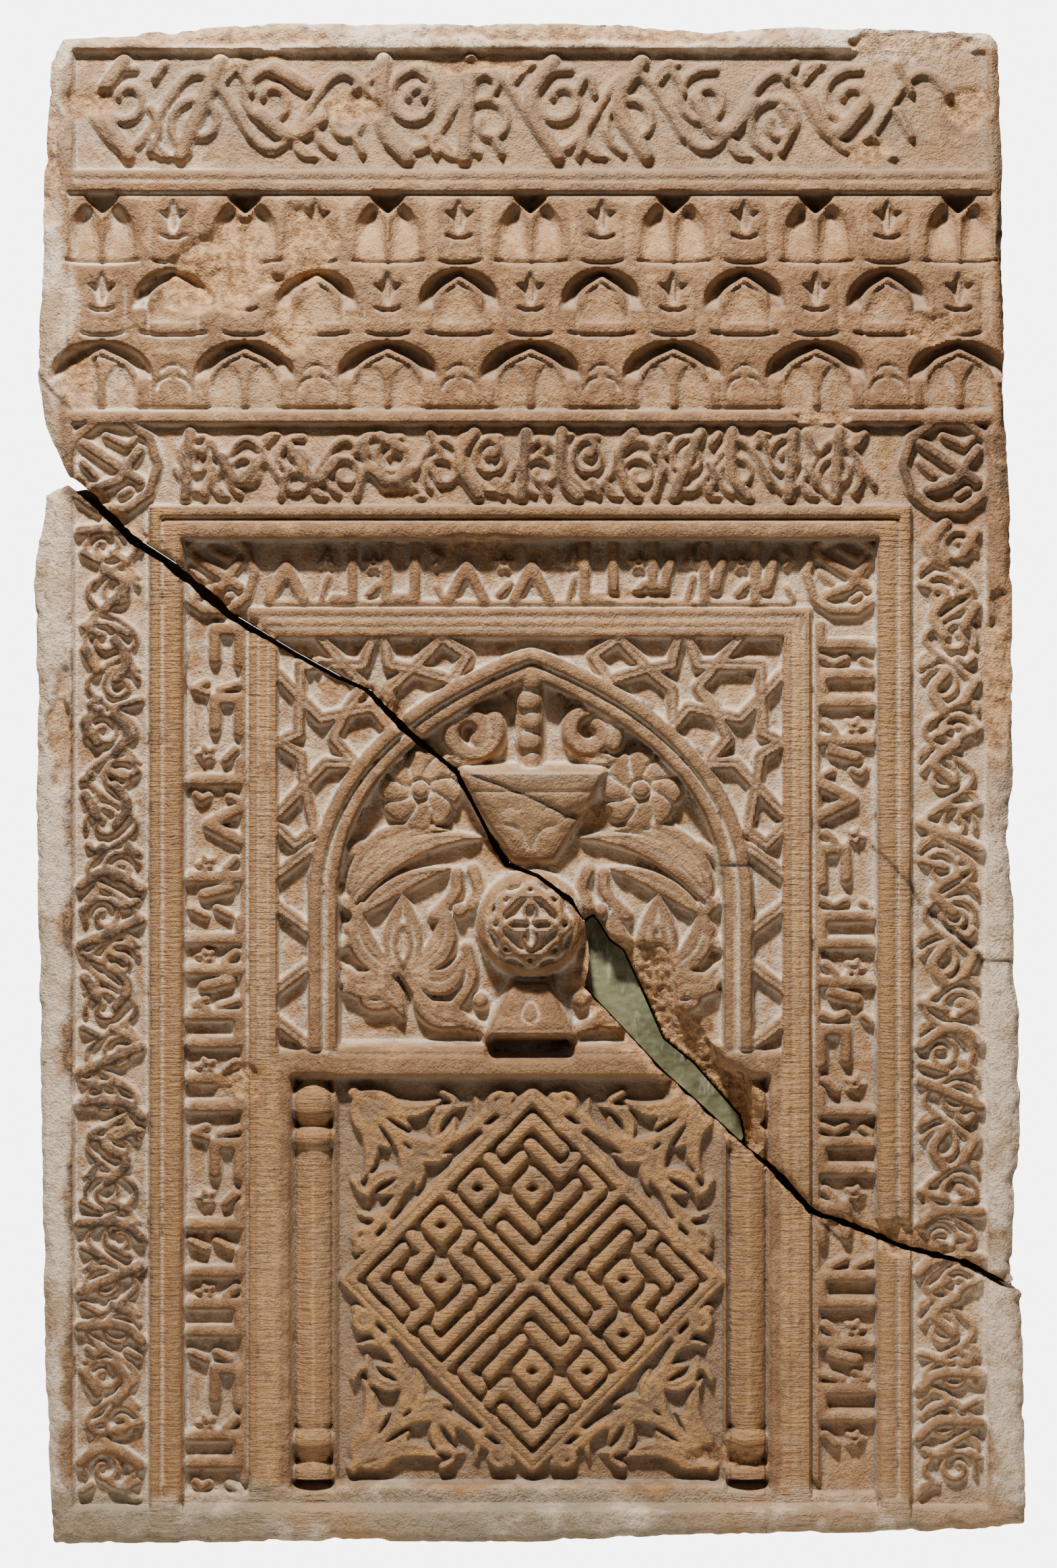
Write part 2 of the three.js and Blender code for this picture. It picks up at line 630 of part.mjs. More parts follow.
// One corner of scrolling leaves, drawn from its outer corner and mirrored about its diagonal
function scrolls() {
  const base = face - panelDrop;
  const top = base + fretRelief;
  const list = [];
  const width = columnInner - 8;
  const [cx, cz] = [2, zPanel - lowerPanelHeight / 2];
  for (const sx of [-1, 1])
    for (const sz of [-1, 1])
      for (const swap of [false, true]) {
        const at = ([u, v]) => {
          const [a, b] = swap ? [v, u] : [u, v];
          return [cx + sx * (width - a), cz + sz * (lowerPanelHeight / 2 - 8 - b)];
        };
        const turn = sx * sz * (swap ? -1 : 1);
        list.push(ribbon([[10, 6], [50, 50], [92, 58], [146, 30]].map(at), 8, base - 2, top));
        list.push(leaf(at([60, 56]), at([112, 30]), 17, turn * 0.35, base - 2, top, 2));
        list.push(leaf(at([30, 8]), at([98, 14]), 15, turn * 0.2, base - 2, top, 2));
        const [x, z] = at([158, 17]);
        list.push(prism(arc(x, z, 13, 13, 0, 1, 6).slice(0, -1), base - 2, top));
      }
  return list;
}

// The carved panel as one solid, before it broke
function carvedPanel() {
  const vault = vaulting();
  const sunk = slab().subtract(union([...grounds(), ...vault.cuts]));
  const raised = union([
    ...vault.fills, ...archRibs(), ...lattice(), ...bands(), ...lamp(), ...plants(), ...ballAndStand(),
    ...sill(), ...columns(), ...fret(), ...scrolls(),
  ]);
  return sunk.add(raised);
}

// The largest body of a cut solid, without the slivers that the fracture leaves
function largest(made) {
  const cleaned = made.asOriginal().simplify(finest);
  return cleaned.decompose().sort((a, b) => b.volume() - a.volume())[0];
}

// The two fragments and the fill between them. The break stands open in front and bears on its back part
function pieces() {
  const panel = carvedPanel();
  const beside = prism(fillOutline, 0, 2 * face).boundingBox();
  const nearFill = box(beside.min[0], beside.min[2], beside.max[0], beside.max[2], 0, 2 * face);
  const lowerSide = union([
    belowCrack(crackGap, restDepth, 2 * face),
    belowCrack(restGap, -face, restDepth),
    belowCrack(restGap, -face, 2 * face).intersect(nearFill),
  ]);
  const upper = panel.subtract(union([belowCrack(0, -face, 2 * face), chipPocket()]));
  return { upper: largest(upper), lower: largest(panel.intersect(lowerSide)), fill: fillPiece() };
}

// A stone surface material
const stone = (color, roughness) => new THREE.MeshStandardMaterial({ color, roughness, metalness: 0 });

function mesh(name, made, material) {
  const { vertProperties, triVerts } = made.getMesh();
  const geometry = new THREE.BufferGeometry();
  geometry.setAttribute("position", new THREE.BufferAttribute(vertProperties, 3));
  geometry.setIndex(new THREE.BufferAttribute(triVerts, 1));
  geometry.computeVertexNormals();
  const piece = new THREE.Mesh(geometry, material);
  piece.name = name;
  return piece;
}

const { upper, lower, fill } = pieces();
const root = new THREE.Group();
root.add(mesh("upper_fragment", upper, stone(0xb98f63, 0.85)));
root.add(mesh("lower_fragment", lower, stone(0xb28759, 0.85)));
root.add(mesh("resin_fill", fill, stone(0x8f9179, 0.6)));

export default root;
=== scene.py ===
# %% [markdown]
# The object is a tall stone panel carved in low relief, broken across and set together again. Blender gets
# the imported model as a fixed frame: the pieces made here take its place, so the first thing kept is its
# box.

# %% Load the frame
import math
import bmesh
import bpy
import numpy as np
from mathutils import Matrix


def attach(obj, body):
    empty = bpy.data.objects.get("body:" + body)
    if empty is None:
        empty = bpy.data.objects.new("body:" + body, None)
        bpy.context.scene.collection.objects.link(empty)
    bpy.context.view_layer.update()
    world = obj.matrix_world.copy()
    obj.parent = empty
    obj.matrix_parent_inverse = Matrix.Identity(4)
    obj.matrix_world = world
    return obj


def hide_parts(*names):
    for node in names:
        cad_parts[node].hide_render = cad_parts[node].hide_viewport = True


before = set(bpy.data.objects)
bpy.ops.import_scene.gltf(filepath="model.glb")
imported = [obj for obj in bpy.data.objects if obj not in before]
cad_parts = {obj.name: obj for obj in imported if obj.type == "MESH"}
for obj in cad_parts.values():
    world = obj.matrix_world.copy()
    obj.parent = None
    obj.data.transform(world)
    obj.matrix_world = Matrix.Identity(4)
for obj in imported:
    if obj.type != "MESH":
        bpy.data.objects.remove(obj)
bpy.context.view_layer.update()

# %% [markdown]
# The photograph looks straight at the panel from far away, so a long lens stands in front of it. The
# picture is taller than wide, and Blender's sensor size then counts along the height.

# %% Camera
PHOTO_HEIGHT = 1.6282
FRONT = -0.110
camera_data = bpy.data.cameras.new("camera")
camera_data.lens = 110
camera_data.sensor_width = 36
camera = bpy.data.objects.new("camera", camera_data)
bpy.context.collection.objects.link(camera)
distance = camera_data.lens / camera_data.sensor_width * PHOTO_HEIGHT
camera.location = (-0.0021, FRONT - distance, 0.0)
camera.rotation_euler = (math.radians(90), 0, 0)
bpy.context.scene.camera = camera
print("camera distance", round(distance, 3))

# %% [markdown]
# Museum light falls from above and in front. One lamp gives the dark shadow under each ledge, a weaker one
# from the left opens it, one more lights the back, and a dim world does the rest. Where nothing stands in
# the way the world itself is seen pale.

# %% Light and floor
def soft_lamp(name, place, aim, size, power, colour):
    data = bpy.data.lights.new(name, "AREA")
    data.shape = "RECTANGLE"
    data.size, data.size_y = size
    data.energy = power
    data.color = colour
    lamp = bpy.data.objects.new(name, data)
    bpy.context.collection.objects.link(lamp)
    lamp.location = place
    direction = [a - b for a, b in zip(aim, place)]
    yaw = math.atan2(direction[1], direction[0]) - math.pi / 2
    pitch = math.atan2(direction[2], math.hypot(direction[0], direction[1])) + math.pi / 2
    lamp.rotation_euler = (pitch, 0, yaw)


soft_lamp("light_above", (-0.4, -1.75, 2.7), (0, -0.1, -0.25), (0.4, 0.2), 285, (1.0, 0.96, 0.91))
soft_lamp("light_left", (-2.4, -3.0, 0.9), (0, -0.1, 0), (1.0, 1.0), 5, (1.0, 0.97, 0.94))
soft_lamp("light_behind", (1.7, 3.2, 1.6), (0, 0, 0), (1.5, 1.5), 70, (1.0, 0.98, 0.95))
world = bpy.data.worlds.new("studio")
world.use_nodes = True
sky = world.node_tree
sky.nodes["Background"].inputs["Color"].default_value = (0.93, 0.93, 0.92, 1)
sky.nodes["Background"].inputs["Strength"].default_value = 0.06
pale = sky.nodes.new("ShaderNodeBackground")
pale.inputs["Color"].default_value = (1, 1, 1, 1)
pale.inputs["Strength"].default_value = 6.0
either = sky.nodes.new("ShaderNodeMixShader")
sky.links.new(sky.nodes.new("ShaderNodeLightPath").outputs["Is Camera Ray"], either.inputs[0])
sky.links.new(sky.nodes["Background"].outputs[0], either.inputs[1])
sky.links.new(pale.outputs[0], either.inputs[2])
sky.links.new(either.outputs[0], sky.nodes["World Output"].inputs["Surface"])
bpy.context.scene.world = world

bpy.ops.mesh.primitive_plane_add(size=3, location=(0, 0, -1.3))
floor = bpy.context.object
floor.name = "floor"
plaster = bpy.data.materials.new("pale_floor")
plaster.use_nodes = True
plaster.node_tree.nodes["Principled BSDF"].inputs["Base Color"].default_value = (0.86, 0.86, 0.85, 1)
plaster.node_tree.nodes["Principled BSDF"].inputs["Roughness"].default_value = 0.9
floor.data.materials.append(plaster)
print("floor and light set")

# %% [markdown]
# A carver works from a flat face inwards. The same can be done here: a fine grid of heights, in millimetres
# above the back, starts at the face of the slab, and each tool lowers or raises part of it. Heights like
# these can't undercut, but low relief has no undercuts. These are the panel's sizes, from the middle out
# and from the top down.

# %% Sizes
NICHE_HALF, ARCH_RIB, LATTICE, INNER_FRAME, INNER_BAND = 201, 30, 31, 31, 67
MOULDING, OUTER_BAND, SIDE_EDGE = 35, 77, 34
TOP_EDGE, TOP_BAND, UPPER_STRIP, VAULT_ROW, LOWER_STRIP = 29, 121, 25, 75, 16
SECOND_BAND, LEDGE, TOP_INNER_BAND, TOP_INNER_FRAME = 82, 36, 70, 31
NICHE, SILL, LOWER_PANEL, PLINTH = 428, 31, 418, 62
FACE = 130.0
BAND_GROUND, NICHE_GROUND, PANEL_GROUND, COLUMN_GROUND = FACE - 11, FACE - 50, FACE - 37, FACE - 45

INNER_HALF = NICHE_HALF + ARCH_RIB + LATTICE
FRAME_HALF = INNER_HALF + INNER_FRAME
INNER_BAND_HALF = FRAME_HALF + INNER_BAND
MOULDING_HALF = INNER_BAND_HALF + MOULDING
OUTER_BAND_HALF = MOULDING_HALF + OUTER_BAND
SLAB_HALF = OUTER_BAND_HALF + SIDE_EDGE
VAULT_HALF = SLAB_HALF - 28
VAULT = 3 * VAULT_ROW
HEIGHT = (TOP_EDGE + TOP_BAND + UPPER_STRIP + VAULT + LOWER_STRIP + SECOND_BAND + LEDGE + TOP_INNER_BAND
          + TOP_INNER_FRAME + NICHE + SILL + LOWER_PANEL + PLINTH)
Z_TOP = HEIGHT / 2
Z_TOP_BAND = Z_TOP - TOP_EDGE
Z_UPPER_STRIP = Z_TOP_BAND - TOP_BAND
Z_VAULT = Z_UPPER_STRIP - UPPER_STRIP
Z_LOWER_STRIP = Z_VAULT - VAULT
Z_SECOND = Z_LOWER_STRIP - LOWER_STRIP
Z_LEDGE = Z_SECOND - SECOND_BAND
Z_INNER_BAND = Z_LEDGE - LEDGE
Z_INNER_FRAME = Z_INNER_BAND - TOP_INNER_BAND
Z_NICHE = Z_INNER_FRAME - TOP_INNER_FRAME
Z_SILL = Z_NICHE - NICHE
Z_PANEL = Z_SILL - SILL
Z_PLINTH = Z_PANEL - LOWER_PANEL
Z_BOTTOM = -Z_TOP
COLUMN_INNER, COLUMN_OUTER = NICHE_HALF - 1, INNER_HALF - 18
print("panel", 2 * SLAB_HALF, "by", HEIGHT, "mm")

# %% [markdown]
# The outline of a worn slab isn't straight. Its corner points are those of the frame's solids, and a line
# across it says where it broke. Distances to such lines are wanted again and again, so one helper measures
# them.

# %% Outline and fracture
def up(share):
    return share * HEIGHT / 2


LEFT_WEAR = [(0.98, 22), (0.95, 10), (0.8, 2), (0.65, -1), (0.54, -5), (0.47, 4), (0.42, 22), (0.398, 31),
             (0.38, 4), (0.27, -9), (0.09, -4), (-0.03, -6), (-0.48, 0), (-0.78, 3), (-1, 12)]
RIGHT_WEAR = [(-0.975, -7), (-0.67, -3), (-0.645, 8), (-0.53, 4), (-0.46, -2), (-0.3, 0), (-0.255, 6),
              (-0.15, 5), (-0.07, 13), (0.01, 5), (0.32, 8), (0.5, 15), (0.83, 17), (0.975, 22), (0.99, 30)]
FOOT_WEAR = [(-0.45, 3), (0, 2), (0.3, 9), (0.85, 13)]
HEAD_WEAR = [(0.56, 3), (0.35, 7), (0.16, -1), (-0.3, 0), (-0.54, -1), (-0.78, 8)]
OUTLINE = ([(-SLAB_HALF + w, up(z)) for z, w in LEFT_WEAR]
           + [(x * SLAB_HALF, Z_BOTTOM + w) for x, w in FOOT_WEAR]
           + [(SLAB_HALF - w, up(z)) for z, w in RIGHT_WEAR]
           + [(x * SLAB_HALF, Z_TOP - w) for x, w in HEAD_WEAR])
FRACTURE = [(-SLAB_HALF - 30, 318), (-474, 317), (-446, 291), (-411, 257), (-368, 229), (-309, 177),
            (-250, 141), (-201, 114), (-168, 99), (-127, 56), (-76, 15), (-34, -66), (-22, -83), (9, -94),
            (44, -120), (57, -145), (62, -180), (57, -213), (79, -236), (139, -300), (177, -334),
            (222, -376), (254, -399), (293, -442), (331, -456), (387, -478), (449, -493), (499, -519),
            (SLAB_HALF + 30, -520)]
FILL_EDGE = [(66, -137), (83, -164), (97, -174), (113, -208), (139, -267), (170, -292), (219, -348),
             (224, -372)]
SCAR_EDGE = [(92, -164), (139, -169), (149, -194), (150, -236), (184, -257), (192, -292), (219, -306),
             (231, -374)]


def to_path(x, z, points, closed=False):
    """The distance to a path of points, and how far along it the nearest place is, from 0 to 1."""
    points = [tuple(map(float, p)) for p in points]
    if closed:
        points = points + points[:1]
    best = np.full(np.shape(x), 1e9)
    along = np.zeros(np.shape(x))
    lengths = [math.dist(a, b) for a, b in zip(points, points[1:])]
    total, run = sum(lengths), 0.0
    for (ax, az), (bx, bz), length in zip(points, points[1:], lengths):
        dx, dz = bx - ax, bz - az
        t = np.clip(((x - ax) * dx + (z - az) * dz) / max(length * length, 1e-9), 0, 1)
        d = np.hypot(x - ax - t * dx, z - az - t * dz)
        nearer = d < best
        along = np.where(nearer, (run + t * length) / total, along)
        best = np.where(nearer, d, best)
        run += length
    return best, along


def inside(x, z, points):
    """True where a point lies in a closed outline."""
    hit = np.zeros(np.shape(x), bool)
    for (ax, az), (bx, bz) in zip(points, points[1:] + points[:1]):
        if az == bz:
            continue
        crosses = (az > z) != (bz > z)
        hit ^= crosses & (x < (bx - ax) * (z - az) / (bz - az) + ax)
    return hit


def beyond(x, z, points):
    """The distance outside a closed outline, negative inside it."""
    d, _ = to_path(x, z, points, closed=True)
    return np.where(inside(x, z, points), -d, d)


print("outline of", len(OUTLINE), "points, fracture of", len(FRACTURE))

# %% [markdown]
# Stone is never quite flat. Smooth noise at a few sizes gives the slow wander of a hand-worked face and the
# fine pecking of the chisel. It is made from a coarse table of seeded random numbers that is stretched
# smoothly.

# %% The grid of heights
PITCH = 1.5
chance_of = np.random.default_rng(7)
xs = np.arange(-520, 521, PITCH)
zs = np.arange(-800, 801, PITCH)
X, Z = np.meshgrid(xs, zs)
H = np.full(X.shape, FACE)


def stretched(table, shape):
    """A small table stretched smoothly over a large one."""
    for axis, size in enumerate(shape):
        at = np.linspace(0, table.shape[axis] - 1.001, size)
        low = at.astype(int)
        f = at - low
        f = f * f * (3 - 2 * f)
        f = f[:, None] if axis == 0 else f[None, :]
        table = np.take(table, low, axis) * (1 - f) + np.take(table, low + 1, axis) * f
    return table


def noise(grain):
    """Smooth noise from -1 to 1 whose lumps are grain mm across."""
    rows = int((zs[-1] - zs[0]) / grain) + 3
    columns = int((xs[-1] - xs[0]) / grain) + 3
    return stretched(chance_of.uniform(-1, 1, (rows, columns)), X.shape)


wander, lumps, pecks, grit = noise(90), noise(22), noise(7), noise(3.2)
rough = 0.55 * lumps + 0.3 * pecks + 0.15 * grit
print("grid", X.shape, "of", PITCH, "mm")

# %% [markdown]
# Every carving tool below works on a small window of the grid, so that hundreds of strokes cost little.
# Sinking leaves slightly sloped walls, and raising leaves a flat top with sloped sides, as a chisel does.

# %% Carving tools
def window(points, reach):
    px, pz = [p[0] for p in points], [p[1] for p in points]
    c0, c1 = np.searchsorted(xs, [min(px) - reach, max(px) + reach])
    r0, r1 = np.searchsorted(zs, [min(pz) - reach, max(pz) + reach])
    return slice(max(r0, 0), r1), slice(max(c0, 0), c1)


def box_points(x0, z0, x1, z1):
    return [(x0, z0), (x1, z0), (x1, z1), (x0, z1)]


def field_near(points, reach):
    """A window round a closed field, and how far outside the field each place in it lies."""
    w = window(points, reach)
    return w, beyond(X[w], Z[w], points)


def sink(points, level, slope=4.0):
    """Lowers a closed field to a level."""
    w, d = field_near(points, 16)
    H[w] = np.minimum(H[w], level + np.maximum(d, 0) * slope)


def raise_flat(points, level, slope=3.0):
    """Raises a closed field to a level, with sloped sides."""
    w, d = field_near(points, 14)
    H[w] = np.maximum(H[w], level - np.maximum(d + 0.6, 0) * slope)


def groove(points, width, depth, closed=False):
    """Cuts a V along a path, down from what is there."""
    w = window(points, width)
    d, _ = to_path(X[w], Z[w], points, closed)
    H[w] -= depth * np.clip(1 - d / (width / 2), 0, 1)


def raise_path(points, width, level, slope=4.0, vein=0.0, closed=False, rounded=0.0):
    """Raises a stroke or a rib with sloped sides and, if asked, a round top or a sunk middle line."""
    w = window(points, width + 10)
    d, _ = to_path(X[w], Z[w], points, closed)
    top = level - np.maximum(d - width / 2 + 0.4, 0) * slope - rounded * np.clip(2 * d / width, 0, 1) ** 2
    if vein:
        top = top - vein * np.clip(1 - d / 2.2, 0, 1)
    H[w] = np.maximum(H[w], top)


def curved(points, rounds=2):
    """Rounds a path's corners by cutting them off a few times."""
    for _ in range(rounds):
        cut = [points[0]]
        for (ax, az), (bx, bz) in zip(points, points[1:]):
            cut += [(0.75 * ax + 0.25 * bx, 0.75 * az + 0.25 * bz),
                    (0.25 * ax + 0.75 * bx, 0.25 * az + 0.75 * bz)]
        points = cut + [points[-1]]
    return points


def spiral(x, z, outer, inner, start, turns, steps=16):
    """A curl that winds inwards from its start angle, all angles in turns."""
    path = []
    for i in range(steps + 1):
        a, r = 2 * math.pi * (start + turns * i / steps), outer + (inner - outer) * i / steps
        path.append((x + r * math.cos(a), z + r * math.sin(a)))
    return path


def bowed(start, end, bow, steps=8):
    (x0, z0), (x1, z1) = start, end
    dx, dz = x1 - x0, z1 - z0
    path = []
    for i in range(steps + 1):
        t = i / steps
        side = 4 * bow * t * (1 - t)
        path.append((x0 + dx * t - dz * side, z0 + dz * t + dx * side))
    return path


def raise_leaf(start, end, width, bow, level, vein=3.0, sign=1):
    """Raises, or with sign -1 sinks, a pointed leaf with a vein along it."""
    path = bowed(start, end, bow)
    w = window(path, width)
    d, t = to_path(X[w], Z[w], path)
    half = width / 2 * np.sin(np.pi * np.clip(t, 0, 1) ** 0.8)
    if sign > 0:
        top = level - np.maximum(d - half + 0.5, 0) * 4 - vein * np.clip(1 - d / 2.6, 0, 1) * (half > 3)
        top = top - 0.7 * vein * np.clip(1 - np.abs(d - 0.6 * half) / 2, 0, 1) * (half > 7)
        H[w] = np.maximum(H[w], np.where(d < half + 6, top, 0))
    else:
        H[w] = np.minimum(H[w], np.where(d < half + 1, level + np.maximum(d - half + 1, 0) * 3, FACE))


def arc(x, z, rx, rz, start, end, steps):
    return [(x + rx * math.cos(2 * math.pi * (start + (end - start) * i / steps)),
             z + rz * math.sin(2 * math.pi * (start + (end - start) * i / steps))) for i in range(steps + 1)]


print("tools ready")

# %% [markdown]
# First the sunk grounds of each field, deepest in the niche. The pointed arch is one curve on each side,
# the same quadratic curve as in the frame's solids, so the relief lands where the solid has it.

# %% Grounds
SPRINGING = Z_NICHE - 268
ARCH_APEX = Z_NICHE - 41


def arch_outline(steps=24):
    half = NICHE_HALF
    a, b, c = (half, SPRINGING), (half - 2, SPRINGING + 147), (0, ARCH_APEX)
    right = []
    for i in range(steps + 1):
        t = i / steps
        right.append(tuple((1 - t) ** 2 * p + 2 * t * (1 - t) * q + t * t * r for p, q, r in zip(a, b, c)))
    left = [(-x, z) for x, z in reversed(right[:-1])]
    return [(half, Z_SILL)] + right + left + [(-half, Z_SILL)]


def mirrored(x0, z0, x1, z1):
    return [box_points(x0, z0, x1, z1), box_points(-x1, z0, -x0, z1)]


sink(box_points(-OUTER_BAND_HALF, Z_UPPER_STRIP, OUTER_BAND_HALF, Z_TOP_BAND), BAND_GROUND)
sink(box_points(-VAULT_HALF, Z_LOWER_STRIP, VAULT_HALF, Z_VAULT), FACE - 4)
sink(box_points(-OUTER_BAND_HALF, Z_LEDGE, OUTER_BAND_HALF, Z_SECOND), BAND_GROUND)
sink(box_points(-INNER_BAND_HALF, Z_PLINTH - 22, INNER_BAND_HALF, Z_INNER_BAND), FACE - 19)
sink(box_points(-INNER_BAND_HALF, Z_INNER_FRAME, INNER_BAND_HALF, Z_INNER_BAND), FACE - 28)
sink(box_points(-INNER_HALF, Z_SILL, INNER_HALF, Z_NICHE), FACE - 33)
for field in mirrored(MOULDING_HALF, Z_PLINTH - 22, OUTER_BAND_HALF, Z_LEDGE):
    sink(field, BAND_GROUND)
for field in mirrored(FRAME_HALF, Z_PLINTH - 10, INNER_BAND_HALF, Z_INNER_FRAME):
    sink(field, FACE - 30)
for field in mirrored(COLUMN_INNER + 8, Z_PLINTH - 4, COLUMN_OUTER, Z_PANEL):
    sink(field, COLUMN_GROUND)
sink(arch_outline(), NICHE_GROUND)
sink(box_points(-COLUMN_INNER, Z_PLINTH, COLUMN_INNER, Z_PANEL), PANEL_GROUND)
print("grounds sunk, lowest", round(float(H.min()), 1))

# %% [markdown]
# Two frames run round the niche like picture mouldings. Their section is the same all along, so their
# height depends only on how far a point lies outside the frame's inner rectangle, with mitres at the
# corners for free.

# %% Frame mouldings
def frame_section(inner_half, inner_top, width, low, section):
    r = np.maximum(np.abs(X) - inner_half, Z - inner_top)
    here = (r > 0) & (r < width) & (Z > low)
    H[here] = section(r[here])


def outer_section(r):
    roll = FACE - 9 + 8 * np.sqrt(np.clip(1 - ((r - 10.5) / 10.8) ** 2, 0, 1))
    strip = FACE - 0.8 - 2.2 * np.clip((r - 32) / 3, 0, 1) - 2.5 * np.clip((24.5 - r) / 2, 0, 1)
    return np.where(r < 21, roll, np.where(r < 22.6, FACE - 9, strip))


def inner_section(r):
    third = np.mod(r, 10.4) / 10.4
    return FACE - 23 + 5 * np.sqrt(np.clip(1 - ((third - 0.5) / 0.52) ** 2, 0, 1))


frame_section(INNER_BAND_HALF, Z_INNER_BAND, MOULDING, Z_PLINTH - 14, outer_section)
frame_section(INNER_HALF, Z_NICHE, INNER_FRAME, Z_PLINTH + 10, inner_section)
for z in (Z_LOWER_STRIP - 1, Z_LOWER_STRIP - 15):
    groove([(-OUTER_BAND_HALF - 6, z), (OUTER_BAND_HALF + 6, z)], 4.5, 5)
groove([(-OUTER_BAND_HALF, Z_UPPER_STRIP - 12), (OUTER_BAND_HALF, Z_UPPER_STRIP - 12)], 4, 3)
print("frames cut")

# %% [markdown]
# The vault field copies, in flat relief, the honeycomb vaults of domes: three rows of small arched cells,
# each row standing over the gaps of the next. One cell of each kind is carved by a function and repeated.

# %% Vault cells
VAULT_PITCH, VAULT_CELLS = 148, 7
VAULT_FLOOR = FACE - 20


def hood(x, z, reach, drop, deep):
    """Two dark wings under a pointed hood, deepest at the top, with a thin rim between them and the cell."""
    for side in (-1, 1):
        outer = curved([(x, z - 3), (x + side * reach * 0.5, z - 9),
                        (x + side * reach * 0.86, z - drop * 0.55), (x + side * reach, z - drop)])
        inner = curved([(x + side * (reach - 15), z - drop), (x + side * reach * 0.5, z - drop * 0.62),
                        (x, z - 13)])
        wing = outer + inner
        w, d = field_near(wing, 8)
        level = FACE - 7 - deep * np.clip((Z[w] - z + drop) / (drop * 0.62), 0, 1) ** 0.6
        H[w] = np.minimum(H[w], level + np.maximum(d, 0) * 4)
        raise_path(curved([(x, z - 12), (x + side * reach * 0.48, z - drop * 0.6),
                           (x + side * (reach - 17), z - drop)]), 3.6, FACE - 3, rounded=1)


def notch(x, z, half):
    """A small dark cut that curves up at both ends."""
    groove([(x - half, z + 3), (x - half * 0.5, z), (x + half * 0.5, z), (x + half, z + 3)], 5.5, 8)


def wide_cell(x, z, row):
    foot = z - VAULT_ROW + 3
    if row == 0:
        for side in (-1, 1):
            lancet = curved([(x + side * u, v) for u, v in (
                (2, foot), (2, z - 18), (16, z - 8), (31, z - 26), (34, z - 40), (34, foot))])
            w, d = field_near(lancet, 8)
            hollow = np.clip((Z[w] - foot) / (VAULT_ROW - 12), 0, 1) ** 1.4 * np.clip(-d / 9, 0, 1)
            H[w] = np.where(d < 0, np.minimum(H[w], FACE - 7 - 21 * hollow), H[w])
        raise_path([(x, foot), (x, z - 20)], 4.5, FACE - 4, rounded=1)
        sink([(x - 11, z - 5), (x, z - 17), (x + 11, z - 5)], VAULT_FLOOR - 10)
        notch(x, foot - 1, 38)
        return
    reach, drop = (42, 42) if row == 1 else (52, 40)
    hood(x, z - 3, reach, drop, 18)
    for side in (-1, 1):
        groove([(x + side * (reach - 16), z - drop - 2), (x + side * (reach - 16), foot)], 4, 5)
        if row == 1:
            middle = window([(x, z)], 60)
            panel = curved([(x - 25, foot), (x - 25, z - 44), (x, z - 14), (x + 25, z - 44), (x + 25, foot)])
            dish = np.clip(-beyond(X[middle], Z[middle], panel) / 10, 0, 1)
            H[middle] = np.minimum(H[middle], np.where(dish > 0, FACE - 6 - 2 * dish, FACE))
        else:
            lobe = curved([(x + side * u, v) for u, v in (
                (4, foot), (4, z - 40), (20, z - 22), (34, z - 42), (34, foot))])
            w, d = field_near(lobe, 6)
            H[w] = np.minimum(H[w], np.where(d < 0, FACE - 8.5, FACE))
    if row == 1:
        notch(x, foot - 1, 34)


def narrow_cell(x, z, row):
    stem = z - 58 if row == 2 else z - 46
    if row == 2:
        for side in (-1, 1):
            groove(curved([(x + side * 13, stem + 22), (x + side * 6, stem + 29), (x, stem + 30)]), 4, 6)
            groove(curved([(x + side * 17, stem + 4), (x + side * 14, stem + 14),
                           (x + side * 4, stem + 17)]), 5, 6)
    else:
        raise_leaf((x, stem + 4), (x, stem + 38), 13, 0, FACE - 14, sign=-1)
        for side in (-1, 1):
            raise_leaf((x + side * 2, stem + 8), (x + side * 15, stem + 26), 9, side * 0.22, FACE - 12,
                       sign=-1)
        raise_path([(x, stem - 2), (x, stem + 34)], 2.4, FACE - 8)
        notch(x, stem - 1, 13)
        notch(x, z - VAULT_ROW + 2, 22)
    for side in (-1, 1):
        groove([(x + side * 24, z - VAULT_ROW + 4), (x + side * 24, z - 24)], 3, 3.5)


for row in range(3):
    z = Z_VAULT - row * VAULT_ROW
    wide = VAULT_CELLS - 1 if row == 1 else VAULT_CELLS
    for i in range(wide):
        wide_cell((i - (wide - 1) / 2) * VAULT_PITCH, z, row)
    narrow = VAULT_CELLS if row == 1 else VAULT_CELLS - 1
    for i in range(narrow):
        narrow_cell((i - (narrow - 1) / 2) * VAULT_PITCH, z, row)
groove([(-VAULT_HALF, Z_LOWER_STRIP + 2), (VAULT_HALF, Z_LOWER_STRIP + 2)], 5, 7)
groove([(-VAULT_HALF, Z_VAULT - 1), (VAULT_HALF, Z_VAULT - 1)], 4, 5)
print("vault rows carved")

# %% [markdown]
# The bands carry rows of shallow strokes, made from a few simple motifs in a repeatable order, as worn
# ornament. A thin vine winds behind the strokes, and small ticks, stars and curls fill the gaps between
# them.

